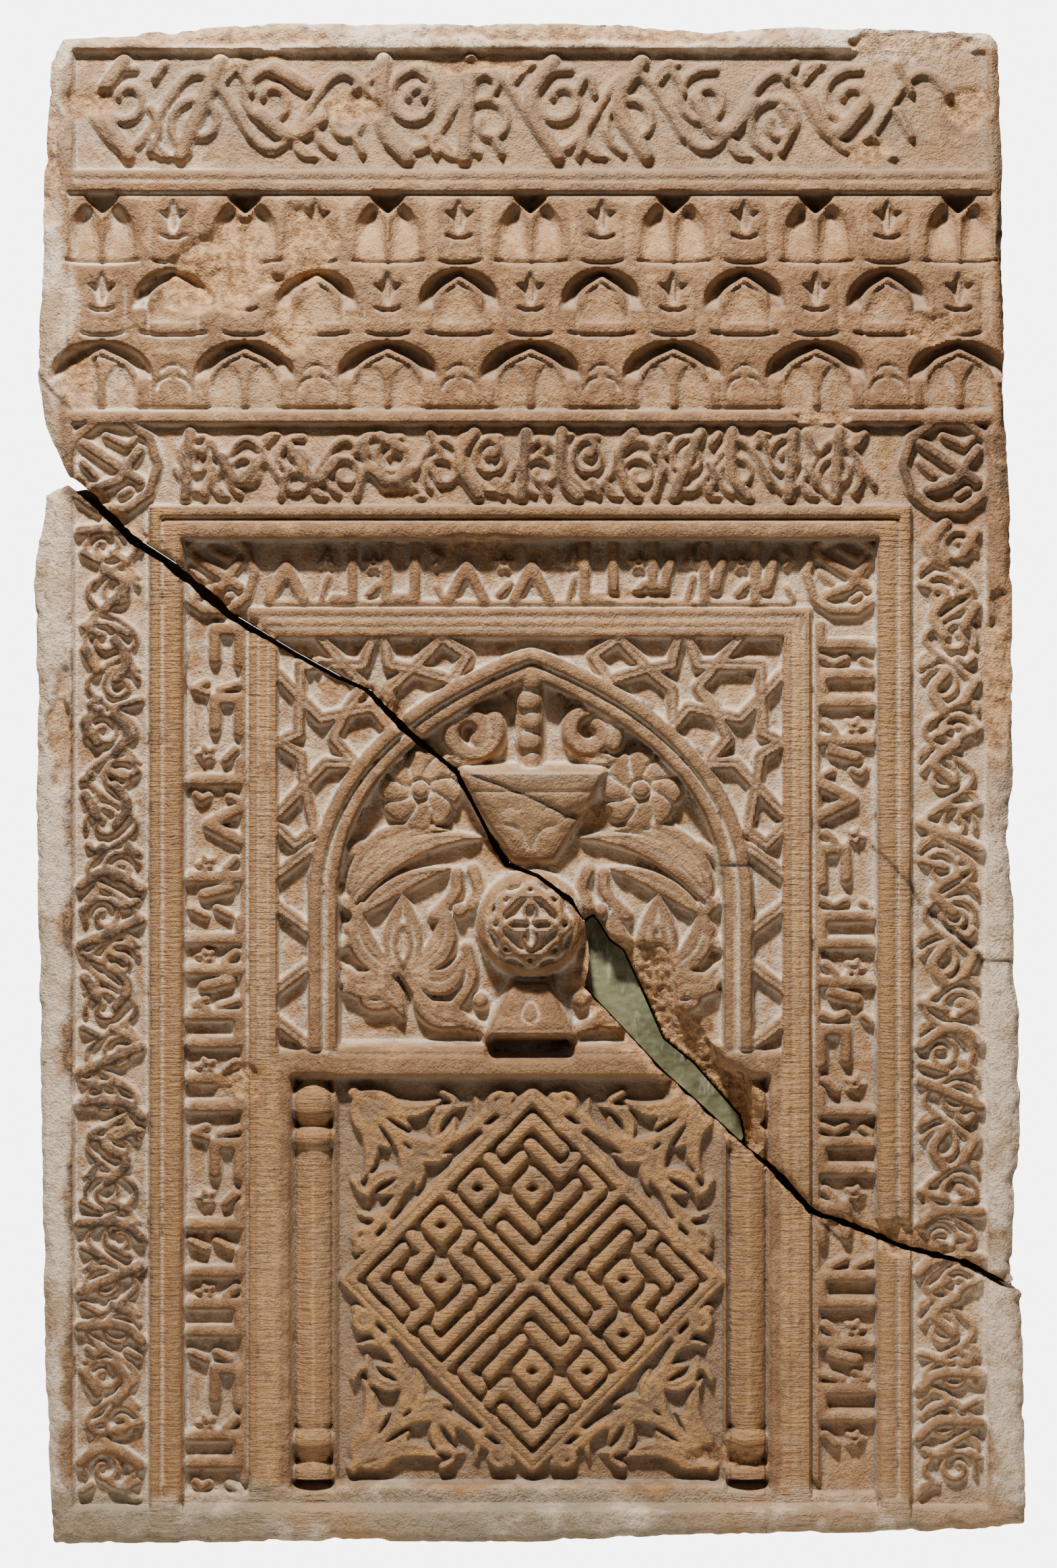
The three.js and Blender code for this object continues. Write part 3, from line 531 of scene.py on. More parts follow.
# %% Stroke motifs
FLOWING = [(0.42, [[(0.1, 0.94), (0.06, 0.34), (0.3, 0.1)]]),
           (0.68, [[(0.03, 0.6), (0.24, 0.22), (0.52, 0.56)]]),
           (0.68, [[(0.0, 0.46), (0.26, 0.24), (0.52, 0.44)], [(0.12, 0.86), (0.4, 0.7)]]),
           (0.5, [[(0.06, 0.12), (0.4, 0.92)]]),
           (0.54, [[(0.36, 0.92), (0.1, 0.56), (0.4, 0.12)]]),
           (0.4, [[(0.22, 0.92), (0.16, 0.1)]])]
SQUARED = [(0.48, [[(0.28, 0.94), (0.28, 0.12), (0.0, 0.12)]]),
           (0.68, [[(0.06, 0.92), (0.06, 0.14), (0.48, 0.14), (0.48, 0.92)]]),
           (0.72, [[(0.5, 0.52), (0.06, 0.52), (0.06, 0.14), (0.56, 0.14)]]),
           (0.68, [[(0.02, 0.12), (0.28, 0.62), (0.54, 0.12)]]),
           (0.5, [[(0.08, 0.92), (0.08, 0.12)], [(0.24, 0.3), (0.34, 0.68)]])]
SMALL = [[[(0.0, 0.82), (0.1, 0.74), (0.02, 0.62)], [(0.04, 0.3), (0.12, 0.14)]],
         [[(0.0, 0.16), (0.1, 0.34), (0.0, 0.52)], [(0.04, 0.78), (0.12, 0.9)]],
         [[(0.0, 0.9), (0.12, 0.66)], [(0.0, 0.5), (0.12, 0.28)]],
         [[(0.02, 0.12), (0.12, 0.46)], [(0.0, 0.66), (0.1, 0.84), (0.16, 0.64)]]]
SPACING, STROKE, RELIEF = 1.4, 11, 7


def chance(i):
    value = math.sin(i * 12.9898 + 4.1) * 43758.5453
    return value - math.floor(value)


def across(x0, z0, height):
    return lambda s, t: (x0 + s * height, z0 + t * height)


def down(x0, z0, height, side):
    return lambda s, t: (x0 + side * t * height, z0 - s * height)


def star(place, s, t, size, base):
    """A small five-pointed star with a sunk eye."""
    tips = []
    for k in range(10):
        r, a = size * (1 if k % 2 == 0 else 0.45), math.pi * (k / 5 + 0.1)
        tips.append(place(s + r * math.cos(a), t + r * math.sin(a)))
    raise_flat(tips, base + RELIEF, 4)
    w = window([place(s, t)], 6)
    x, z = place(s, t)
    H[w] = np.where(np.hypot(X[w] - x, Z[w] - z) < 2.6, base + 2, H[w])


def vine(length, height, place, base, seed):
    """A thin scroll that fills the ground behind the strokes: a wave with a curl in each bend."""
    width = 0.045 * height + 3.2
    long, bend = length / height - 0.12, 0.62
    wave = [(0.1 + k * 0.07, 0.5 + 0.33 * math.sin(math.pi * (k * 0.07 / bend) + seed))
            for k in range(int((long - 0.1) / 0.07))]
    for k in range(0, len(wave) - 1, 8):
        raise_path([place(*p) for p in wave[k:k + 9]], width, base + 5, rounded=2)
    for k in range(int(long / bend)):
        middle = 0.1 + bend * (k + 0.5 - seed / math.pi % 1)
        if 0.3 < middle < long - 0.3:
            side = 1 if math.sin(math.pi * (middle - 0.1) / bend + seed) > 0 else -1
            start = 0.25 * side + 0.45
            curl = spiral(middle, 0.5 - side * 0.1, 0.27, 0.07, start, -1.25 * side)
            raise_path([place(*p) for p in curl], width - 0.5, base + 5, rounded=2)
            raise_leaf(place(middle + 0.2, 0.5 + side * 0.2), place(middle + 0.42, 0.5 + side * 0.4),
                       width + 2, 0.2 * side, base + 5)


def strokes(kinds, length, height, place, base, width, seed):
    """Raises a row of strokes along a band, over a thin scroll, with small ones in the gaps."""
    flowing = kinds is FLOWING
    if flowing:
        vine(length, height, place, base, seed)
    shaped = curved if flowing else (lambda path: path)
    if not flowing:
        raise_path([place(0.06, 0.07), place(length / height - 0.1, 0.07)], 6, base + RELIEF - 1)
    s, i = 0.06, 0
    while s * height < length - 0.6 * height:
        step, paths = kinds[int(chance(seed + i) * len(kinds))]
        for path in paths:
            raise_path([place(s + a, b) for a, b in shaped(path)], width, base + RELIEF + 1,
                       rounded=3 if flowing else 1)
        advance = SPACING * (step + 0.05 * chance(seed + i + 0.5))
        if not flowing and i % 2:
            star(place, s + advance - 0.13, 0.66, 0.17, base)
            raise_path([place(s + advance - 0.2, 0.2), place(s + advance - 0.04, 0.36)], 7, base + RELIEF)
        else:
            for path in SMALL[int(chance(seed + i + 0.25) * len(SMALL))]:
                raise_path([place(s + advance - 0.2 + a, b) for a, b in shaped(path)], 7, base + RELIEF,
                           rounded=2)
        s += advance
        i += 1


def roundel(x, z, radius, base):
    """A ring with two crossing bars and a small knot between them."""
    raise_path(arc(x, z, radius - 4, radius - 4, 0, 1, 10)[:-1], 9, base + RELIEF, closed=True)
    span = 0.62 * radius
    for bar in ([(-0.9, 0.7), (0.9, -0.5)], [(-0.7, -0.8), (0.2, -0.5), (0.9, 0.5)]):
        raise_path([(x + a * span, z + b * span) for a, b in bar], 9, base + RELIEF)
    for bar in ([(-0.95, 0.1), (-0.5, -0.35)], [(-0.2, 0.95), (0.5, 0.6), (0.75, 0.85)],
                [(0.3, -0.95), (0.6, -0.8)]):
        raise_path([(x + a * span, z + b * span) for a, b in bar], 6.5, base + RELIEF - 1.5)


print(len(FLOWING), "flowing and", len(SQUARED), "squared motifs")

# %% Bands of strokes
OUTER, INNER = FACE - 9, FACE - 28
corner_x, corner_z = MOULDING_HALF + OUTER_BAND / 2, Z_LEDGE + SECOND_BAND / 2
inner_x, inner_z = FRAME_HALF + INNER_BAND / 2, Z_INNER_FRAME + TOP_INNER_BAND / 2
ROUNDEL, INNER_ROUNDEL = 52, 44
side_top, inner_side_top = corner_z - ROUNDEL - 4, inner_z - INNER_ROUNDEL - 6
second, top_inner = corner_x - ROUNDEL - 6, inner_x - INNER_ROUNDEL - 5

strokes(FLOWING, 2 * OUTER_BAND_HALF, TOP_BAND, across(-OUTER_BAND_HALF, Z_UPPER_STRIP, TOP_BAND), OUTER,
        STROKE + 3, 3)
strokes(FLOWING, 2 * second, SECOND_BAND, across(-second, Z_LEDGE, SECOND_BAND), OUTER, STROKE, 41)
strokes(SQUARED, 2 * top_inner, TOP_INNER_BAND, across(-top_inner, Z_INNER_FRAME, TOP_INNER_BAND), INNER,
        STROKE, 87)
for side, seed in ((-1, 129), (1, 173)):
    strokes(FLOWING, side_top - Z_PLINTH + 18, OUTER_BAND,
            down(side * MOULDING_HALF, side_top, OUTER_BAND, side), OUTER, STROKE, seed)
    strokes(SQUARED, inner_side_top - Z_PLINTH + 4, INNER_BAND,
            down(side * FRAME_HALF, inner_side_top, INNER_BAND, side), INNER, STROKE, seed + 82)
    roundel(side * corner_x, corner_z, ROUNDEL, OUTER)
    roundel(side * inner_x, inner_z, INNER_ROUNDEL, INNER)
print("bands carved")

# %% [markdown]
# Beside and over the arch, flat ribs cross at set angles and leave stars between them. Each rib has a fine
# line along its middle, as plaited straps have. The arch itself is two ribs with a channel between.

# %% Star lattice and arch
LATTICE_RIBS = [[(92, 0), (65, -18), (81, -44)], [(92, 0), (120, -30), (147, -53), (148, -92)],
                [(81, -44), (120, -33), (147, -28), (153, 0)],
                [(164, 0), (174, -28), (239, -28), (241, -99), (262, -108)],
                [(218, 0), (174, -51), (192, -77), (205, -104), (182, -131)],
                [(262, -38), (218, -84), (164, -72), (148, -92)],
                [(262, -108), (239, -122), (234, -156), (225, -200)], [(182, -131), (213, -130), (262, -182)],
                [(225, -200), (245, -215), (262, -198)]]
LATTICE_TOP = FACE - 21
for side in (-1, 1):
    for rib in LATTICE_RIBS:
        raise_path([(side * x, Z_NICHE + z) for x, z in rib], 10, LATTICE_TOP, vein=3.5)
    for i in range(4):
        z, lean = SPRINGING + 36 - 60 * i, -1 if i % 2 else 1
        raise_path([(side * (INNER_HALF - LATTICE - 4), z + 14 * lean),
                    (side * (INNER_HALF + 2), z - 14 * lean)], 10, LATTICE_TOP, vein=3.5)
out_of_arch = beyond(X, Z, arch_outline())
rib_zone = (out_of_arch > -1) & (out_of_arch < ARCH_RIB) & (Z > Z_SILL) & (Z < Z_NICHE - 3)
outer_rib = FACE - 15.5 - 3 * np.clip(np.abs(out_of_arch - 22.5) / 7.5, 0, 1) ** 3
inner_rib = FACE - 21 - 3 * np.clip(np.abs(out_of_arch - 7) / 7.5, 0, 1) ** 3
ribs = np.where(out_of_arch > 15, outer_rib, inner_rib)
ribs = ribs - 5 * np.clip(1 - np.abs(out_of_arch - 15) / 1.8, 0, 1)
H = np.where(rib_zone, np.maximum(H, ribs), H)
print("lattice and arch carved")

# %% [markdown]
# In the niche hangs a mosque lamp over a ball on a little stand, between rosettes and lotus plants.
# Rosettes are eight leaves round a button; the ball is a sphere's own height, with a plaited pattern cut
# into it.

# %% Rosettes, lamp and plants
LEAF_TOP = NICHE_GROUND + 14


def rosette(x, z, radius=41, petals=8):
    w = window([(x, z)], radius + 6)
    u, v = X[w] - x, Z[w] - z
    r = np.hypot(u, v)
    ridge = np.abs(np.sin(petals / 2 * (np.arctan2(v, u) + 0.5 * r / radius)))
    petal = LEAF_TOP + 4 - 7 * np.clip(1 - ridge / 0.3, 0, 1) * (r > 12) - 3 * (r / radius) ** 2
    edge = radius * (0.84 + 0.16 * ridge ** 0.6)
    H[w] = np.maximum(H[w], petal - np.maximum(r - edge, 0) * 4)
    H[w] = np.where(r < 9, LEAF_TOP + 6 + 3 * np.sqrt(np.clip(1 - (r / 9) ** 2, 0, 1)), H[w])
    H[w] = np.where((r >= 9) & (r < 12), LEAF_TOP - 3, H[w])


def lamp(width=150, height=92):
    half, rim = width / 2, Z_NICHE - 140
    foot = rim - height
    bowl = [(-half, rim), (-half * 0.92, rim - 14), (-18, foot), (24, foot), (half * 0.92, rim - 14),
            (half, rim)]
    w, d = field_near(bowl, 10)
    front = NICHE_GROUND + 12 + 30 * (Z[w] - foot) / height
    round_off = 8 * np.clip((X[w] / half) ** 2, 0, 1)
    H[w] = np.maximum(H[w], front - round_off - np.maximum(d + 1, 0) * 3)
    groove([(-half * 0.86, rim - 20), (half * 0.86, rim - 20)], 3, 3)
    raise_flat([(-10, rim - 2), (-12, rim + 99), (12, rim + 99), (10, rim - 2)], NICHE_GROUND + 19)
    for k, size in enumerate((10, 13, 11, 13, 12)):
        middle = rim + 10 + 21 * k
        w = window([(0, middle)], 16)
        d = np.hypot((X[w] - 1.5 * (-1) ** k) / size, (Z[w] - middle) / 12)
        bulge = NICHE_GROUND + 17 + 13 * np.sqrt(np.clip(1 - d * d, 0, 1))
        H[w] = np.maximum(H[w], np.where(d < 1, bulge, 0))
    for side in (-1, 1):
        curl = spiral(side * 62, rim + 42, 28, 12, 0.5 + side * 0.42, side * 1.2, 26)
        raise_path(curl, 16, NICHE_GROUND + 22, rounded=5, vein=3)
        raise_leaf((side * 92, rim + 14), (side * 44, rim + 64), 15, side * 0.32, NICHE_GROUND + 18)
        groove(curved([(side * 12, foot + 52), (side * 22, foot + 58), (side * 30, foot + 50)]), 3.5, 3)
        groove(curved([(side * 3, foot + 12), (side * 9, foot + 34), (side * 28, foot + 38)]), 4, 3.5)


def plants(side):
    foot = Z_NICHE - 350

    def at(x, z):
        return side * x, foot + z

    rosette(side * 115, Z_NICHE - 158)
    for start, end, width, bow in (
            ((138, 2), (176, 76), 26, -0.24), ((128, 2), (92, 76), 26, 0.24), ((133, -4), (133, 84), 40, 0),
            ((142, 0), (203, 16), 24, -0.34), ((124, 0), (68, 24), 24, 0.34),
            ((192, 66), (52, 142), 22, -0.16), ((190, 84), (86, 150), 20, -0.22),
            ((178, 62), (84, 110), 17, -0.08), ((196, -18), (132, -46), 26, -0.3),
            ((120, -12), (62, -50), 17, 0.25)):
        raise_leaf(at(*start), at(*end), width, side * bow, LEAF_TOP)
    bud = curved([(133, 10), (122, 30), (133, 58), (144, 30), (133, 10)])
    raise_path([at(x, z) for x, z in bud], 4, LEAF_TOP + 3)
    for path in ([(130, 0), (104, -40), (34, -62)], [(66, 26), (58, -6), (84, -42)],
                 [(100, 60), (76, 84), (76, 104)], [(196, 76), (178, 62), (186, 34), (199, 30)],
                 [(160, -4), (176, -16), (170, -34), (150, -32)], [(66, -54), (80, -36), (98, -34)],
                 [(203, 100), (196, 124), (178, 132)], [(62, 70), (52, 88), (60, 108)]):
        raise_path([at(x, z) for x, z in curved(path)], 8, LEAF_TOP - 1, 2.4, vein=2)
    for x, z in ((74, 66), (186, 46), (52, -28)):
        raise_path(arc(*at(x, z), 3, 3, 0, 1, 8)[:-1], 7, LEAF_TOP, closed=True)


def ball_and_stand(x=0, z=Z_NICHE - 298, radius=57):
    w = window([(x, z)], radius + 4)
    u, v = X[w] - x, Z[w] - z
    d = np.hypot(u, v)
    dome = NICHE_GROUND + 2 + 0.97 * np.sqrt(np.clip(radius ** 2 - d ** 2, 0, None))
    knot = np.abs(d - 15 - 9 * np.cos(4 * np.arctan2(v, u)))
    for start in (0.0, 0.125):
        square = arc(x, z, 43, 43, start, start + 1, 4)[:-1]
        knot = np.minimum(knot, to_path(X[w], Z[w], square, True)[0])
    cut = 13 * np.clip((knot - 2.6) / 1.8, 0, 1) * (d < 43)
    cut = cut + 6 * np.clip(1 - np.abs(d - 45) / 2.6, 0, 1) + 3 * np.clip(1 - np.abs(d - 51) / 1.8, 0, 1)
    H[w] = np.where(d < radius, np.maximum(H[w], dome - cut), H[w])
    half, foot, height = 43, Z_SILL + 8, 62
    stand = [(x - half, foot), (x + half, foot), (x + half, foot + 8), (x + half * 0.4, foot + height),
             (x - half * 0.4, foot + height), (x - half, foot + 8)]
    w, d = field_near(stand, 10)
    H[w] = np.maximum(H[w], NICHE_GROUND + 34 - 12 * (Z[w] - foot) / height - np.maximum(d + 1, 0) * 3)
    groove([(x - half + 8, foot + 12), (x + half - 8, foot + 12)], 3.5, 4)
    groove(curved([(x, foot + 18), (x - 12, foot + 26), (x, foot + 48), (x + 12, foot + 26),
                   (x, foot + 18)]), 3.5, 4)


lamp()
for side in (-1, 1):
    plants(side)
ball_and_stand()
print("niche filled, highest", round(float(H[rib_zone].max()), 1))

# %% [markdown]
# Under the niche a sill of two steps crosses the panel, and a small engaged column stands at each side of
# the lower field. A column's height over its axis is that of a circle whose radius changes with z.

# %% Sill and columns
reach = INNER_HALF - 22
raise_flat(box_points(-reach, Z_PANEL + 14, reach, Z_SILL), COLUMN_GROUND + 22)
raise_flat(box_points(-reach, Z_PANEL + 1, reach, Z_PANEL + 11), COLUMN_GROUND + 18)
raise_flat(box_points(-reach, Z_PANEL + 10, reach, Z_PANEL + 15), COLUMN_GROUND + 12)
PROFILE = [(24, 0), (24, 12), (14, 20), (25, 40), (25, 46), (16, 56), (19, 60), (19, 352), (25, 362),
           (25, 370), (14, 378), (25, 394), (25, 408), (12, 424), (8, 430)]


def column(side):
    middle = side * (COLUMN_INNER + COLUMN_OUTER + 8) / 2
    scale = (LOWER_PANEL + 2) / 430
    w = window([(middle - 25, Z_PLINTH), (middle + 25, Z_PANEL)], 4)
    radius = np.interp(Z[w], [Z_PLINTH + z * scale for _, z in PROFILE], [r for r, _ in PROFILE])
    rise = np.sqrt(np.clip(radius ** 2 - (X[w] - middle) ** 2, 0, None))
    level = COLUMN_GROUND + 4 + rise * 0.95
    on = (rise > 0) & (Z[w] > Z_PLINTH) & (Z[w] < Z_PANEL + 1)
    H[w] = np.where(on, np.maximum(H[w], level), H[w])


column(-1)
column(1)
sink(box_points(-38, Z_SILL - 2, 38, Z_SILL + 5), FACE - 64)
print("sill and columns carved")

# %% [markdown]
# The lower field holds a square on its point filled with a key pattern of straight bars, and a scrolling
# plant in each corner. One quarter of each is laid out, and mirrored into the other three.

# %% Key pattern and scrolls
FRET_BAR, FRET_NODES, GUTTER = 14, 6, 7
FRET_REACH = (COLUMN_INNER + 3) * math.sqrt(0.5) - FRET_BAR / 2
FRET_PITCH = (FRET_REACH - GUTTER - 9) / FRET_NODES
FRET_BARS = [[(2, 5), (2, 4), (3, 4)], [(3, 5), (5, 5), (5, 3)], [(4, 4), (4, 2), (5, 2)], [(0, 3), (1, 3),
             (1, 1)], [(0, 2), (0, 0), (2, 0)], [(2, 1), (4, 1)], [(3, 0), (5, 0), (5, 1)]]
FRET_RINGS = [(0, 4), (2, 2)]
MID_X, MID_Z = 2, Z_PANEL - LOWER_PANEL / 2
FRET_TOP = PANEL_GROUND + 10
FRET_CUT = FRET_BAR - 3.5


def turned(u, v):
    return MID_X + (u - v) * math.sqrt(0.5), MID_Z + (u + v) * math.sqrt(0.5)


def fret_quarter(su, sv):
    def node(i, j):
        return turned(su * (GUTTER + (i + 0.5) * FRET_PITCH), sv * (GUTTER + (j + 0.5) * FRET_PITCH))

    half = FRET_CUT / FRET_PITCH / 2 - 0.06
    for bar in FRET_BARS:
        ended = [list(p) for p in bar]
        for end, next_one in ((0, 1), (-1, -2)):
            for k in (0, 1):
                ended[end][k] += half * np.sign(bar[end][k] - bar[next_one][k])
        raise_path([node(*p) for p in ended], FRET_CUT, FRET_TOP + 1)
    for i, j in FRET_RINGS:
        square = [node(i, j), node(i + 1, j), node(i + 1, j + 1), node(i, j + 1)]
        raise_path(square, FRET_CUT, FRET_TOP + 1, closed=True)


def scroll_corner(sx, sz, swap):
    width, high = COLUMN_INNER - 8, LOWER_PANEL / 2 - 8
    turn = sx * sz * (-1 if swap else 1)

    def at(u, v):
        a, b = (v, u) if swap else (u, v)
        return MID_X + sx * (width - a), MID_Z + sz * (high - b)

    top = PANEL_GROUND + 10
    stem = curved([(6, 4), (50, 52), (92, 62), (128, 46), (150, 24), (170, 10)])
    raise_path([at(u, v) for u, v in stem], 8.5, top, vein=2.5)
    raise_path([at(u, v) for u, v in curved([(98, 6), (112, 14), (108, 26), (94, 24)])], 6, top, rounded=1)
    for start, end, broad, bow, drop, vein in (
            ((8, 8), (64, 44), 22, -0.12, 0, 4), ((92, 60), (122, 20), 12, -0.3, 0, 3),
            ((134, 40), (176, 24), 11, 0.3, 0, 3), ((60, 56), (112, 30), 17, 0.35, 0, 3),
            ((30, 8), (98, 14), 15, 0.2, 0, 3), ((20, 30), (58, 30), 9, -0.3, 1, 3),
            ((62, 66), (70, 108), 12, -0.2, 0, 3), ((108, 52), (132, 10), 9, 0.3, 1, 3)):
        raise_leaf(at(*start), at(*end), broad, turn * bow, top - drop, vein)
    x, z = at(158, 17)
    raise_path(arc(x, z, 9.5, 9.5, 0, 1, 14)[:-1], 6, top, closed=True)
    raise_path(arc(x, z, 2, 2, 0, 1, 6)[:-1], 4, top - 1, closed=True)


for a in (-1, 1):
    for b in (-1, 1):
        fret_quarter(a, b)
        scroll_corner(a, b, False)
        scroll_corner(a, b, True)
for u, v in ((1, 0), (0, 1)):
    raise_path([turned(u * FRET_REACH, v * FRET_REACH), turned(-u * FRET_REACH, -v * FRET_REACH)],
               8.5, FRET_TOP)
square = [turned(u * FRET_REACH, v * FRET_REACH) for u, v in ((1, 1), (-1, 1), (-1, -1), (1, -1))]
raise_path(square, FRET_BAR, FRET_TOP, vein=3, closed=True)
print("lower field carved")

# %% [markdown]
# Wear and the break come next. The carving is softened a little, shallow patches have spalled off, and long
# hairlines run through it. A patch falls to a blurred copy of the relief, kept rough.

# %% Wear
def softened(table, steps):
    for _ in range(steps):
        for axis in (0, 1):
            table = (np.roll(table, 1, axis) + 2 * table + np.roll(table, -1, axis)) / 4
    return table


coarse = stretched(softened(H[::8, ::8], 2), X.shape)
BROKEN = np.zeros(X.shape)


def spall(x, z, rx, rz, depth, turn=0.0):
    """Breaks a rough, shallow patch off the surface."""
    w = window([(x - rx, z - rz), (x + rx, z + rz)], max(rx, rz) * 0.4 + 10)
    c, s = math.cos(turn), math.sin(turn)
    u, v = (X[w] - x) * c + (Z[w] - z) * s, (Z[w] - z) * c - (X[w] - x) * s
    r = np.hypot(u / rx, v / rz) + 0.3 * lumps[w] + 0.12 * pecks[w]
    cut = np.clip((1 - r) * 4, 0, 1)
    broken = coarse[w] - depth * (0.9 + 0.7 * rough[w])
    H[w] = H[w] * (1 - cut) + np.minimum(H[w], broken) * cut
    BROKEN[w] = np.maximum(BROKEN[w], cut)


for patch in [(-322, 532, 66, 48, 8, 0.3), (-232, 556, 30, 44, 6), (-250, 470, 26, 30, 5),
              (-330, 776, 150, 13, 6), (60, 778, 190, 11, 5), (400, 768, 90, 12, 6), (-497, 640, 12, 70, 6),
              (497, 560, 13, 90, 6), (-180, 700, 30, 16, 4), (350, 655, 24, 14, 4), (-60, 250, 50, 7, 5),
              (120, 196, 44, 6, 4), (-470, 418, 22, 30, 9), (455, 700, 30, 22, 6), (-455, 705, 26, 20, 6),
              (-300, -310, 26, 18, 4), (385, -470, 40, 22, 7, -0.3), (-487, 60, 12, 60, 7),
              (485, 110, 16, 90, 8), (300, 380, 34, 10, 5), (-60, 745, 60, 8, 6), (150, 772, 80, 7, 4),
              (60, -30, 26, 16, 3), (415, 470, 26, 18, 4), (-140, 300, 40, 8, 5), (210, -700, 40, 14, 5)]:
    spall(*patch)
H = softened(H, 1)
HAIRLINES = [[(201, -85), (229, -86)], [(355, -66), (393, -106), (404, -124), (449, -162), (467, -183),
             (495, -184)], [(-85, 16), (-33, -1), (9, -19), (44, -36)], [(293, -446), (320, -474)],
             [(-513, 432), (-498, 408), (-474, 386)]]
CRACKED = np.full(X.shape, 99.0)
for line in HAIRLINES:
    kinked = [(x + 2 * (chance(x) - 0.5), z + 2 * (chance(z) - 0.5)) for x, z in line]
    groove(kinked, 5, 3)
    CRACKED = np.minimum(CRACKED, to_path(X, Z, kinked)[0])
print("worn, highest", round(float(H.max()), 1))

# %% [markdown]
# Two distance fields say how far each place lies inside a fragment: from the slab's edge and from the
# fracture. They round and chip the edges here, and later they trim each fragment's mesh and point its sides
# inwards.

# %% Edges and the fracture
GAP, REST_GAP, REST_DEPTH = 3.0, 0.1, 40.0
FILL_DROP, FILL_CLEARANCE = 66.0, 0.4
edge_in = -beyond(X, Z, OUTLINE)


def fracture_side(gap):
    """Positive above the fracture, moved down and left by a gap, wide at the left and closed by the fill."""
    line = []
    for i, (x, z) in enumerate(FRACTURE):
        wider = gap * (1.7 if i < 6 else 1)
        g = min(gap, REST_GAP) if 15 <= i <= 21 else wider
        line.append((x - g, z - g))
    far = [(line[-1][0], -2000), (line[0][0], -2000)]
    d, _ = to_path(X, Z, line)
    return np.where(inside(X, Z, line + far), -d, d)


above = fracture_side(0.0)
ragged = np.clip(0.5 + 1.7 * lumps + 1.1 * pecks, 0, 3)
rest_edge = edge_in - ragged - 1.6
upper_rest, lower_rest = np.minimum(rest_edge, above), np.minimum(rest_edge, -fracture_side(REST_GAP))
upper_field = np.minimum(edge_in, above) - ragged
lower_field = np.minimum(edge_in, -fracture_side(GAP)) - ragged
rounding = np.clip(11 + 4 * lumps + 2 * pecks - edge_in, 0, 30)
H = H - 0.09 * rounding ** 2 / (1 + 0.05 * rounding)
bite = np.clip(6 + 6 * lumps + 3 * pecks - np.abs(above), 0, 14)
H = H - 0.9 * bite
BROKEN = np.maximum(BROKEN, np.clip(bite / 3, 0, 1))
H = H - 0.5 + 0.7 * wander + 0.35 * lumps + 0.2 * pecks + BROKEN * (0.9 * rough + 0.5 * grit)
H = np.clip(H, 30, 136.5)

chip_side = FRACTURE[21:14:-1]
beyond_chip = [(226, -382)] + [(x - 2 * GAP, z - 0.5 * GAP) for x, z in chip_side]
fill_outline = FILL_EDGE + chip_side
upper_heights = H.copy()
w = window(SCAR_EDGE + beyond_chip, 20)
scar = beyond(X[w], Z[w], SCAR_EDGE + beyond_chip) + 3 * lumps[w]
slope = FACE - FILL_DROP + 0.34 * np.clip(X[w] + Z[w] + 110, 0, 100) + 4 * rough[w] + 1.5 * grit[w]
upper_heights[w] = np.minimum(upper_heights[w], slope + np.maximum(scar, 0) * 3)
BROKEN[w] = np.maximum(BROKEN[w], (scar < 6) * 1.0)
hole = beyond(X[w], Z[w], FILL_EDGE + beyond_chip)
upper_heights[w] = np.minimum(upper_heights[w], REST_DEPTH + np.maximum(hole - 0.6, 0) * 28)
print("edges worn and the chip cut")

# %% [markdown]
# A fragment's front is a grid of squares, trimmed where its field turns negative and then pulled out onto
# the edge. The open edge is extruded to the back in a few rough rings and filled, which gives a closed
# body.

# %% Fragments
MESH_PITCH, MESH_HALF = 2.0, 515
BUDGET = 190000


def sampled(table, x, z):
    u = np.clip((x - xs[0]) / PITCH, 0, len(xs) - 1.001)
    v = np.clip((z - zs[0]) / PITCH, 0, len(zs) - 1.001)
    i, j = u.astype(int), v.astype(int)
    f, g = u - i, v - j
    return ((table[j, i] * (1 - f) + table[j, i + 1] * f) * (1 - g)
            + (table[j + 1, i] * (1 - f) + table[j + 1, i + 1] * f) * g)


def places(verts):
    co = np.array([v.co for v in verts])
    return co[:, 0], co[:, 1], co[:, 2]


def put(verts, x, y, z):
    for v, p in zip(verts, np.stack([x, y, z], 1)):
        v.co = p


def front_of(field, heights, low, high):
    """The trimmed front face, in millimetres, and its open edge."""
    bm = bmesh.new()
    bmesh.ops.create_grid(bm, x_segments=int(2 * MESH_HALF / MESH_PITCH),
                          y_segments=int((high - low) / MESH_PITCH), size=1)
    u, v, _ = places(bm.verts)
    x, z = u * MESH_HALF, low + (v + 1) / 2 * (high - low)
    put(bm.verts, x, -sampled(heights, x, z), z)
    out = sampled(field, x, z) < 0.4
    bmesh.ops.delete(bm, geom=[v for v, gone in zip(bm.verts, out) if gone], context="VERTS")
    for _ in range(4):
        pinched = [v for v in bm.verts
                   if len([e for e in v.link_edges if e.is_boundary]) > 2 or not v.link_faces]
        bmesh.ops.delete(bm, geom=pinched, context="VERTS")
    rim = [v for v in bm.verts if v.is_boundary]
    x, y, z = places(rim)
    slope_z, slope_x = np.gradient(field, PITCH)
    for _ in range(2):
        d = sampled(field, x, z)
        x, z = x - d * sampled(slope_x, x, z), z - d * sampled(slope_z, x, z)
    put(rim, x, -sampled(heights, x, z), z)
    return bm


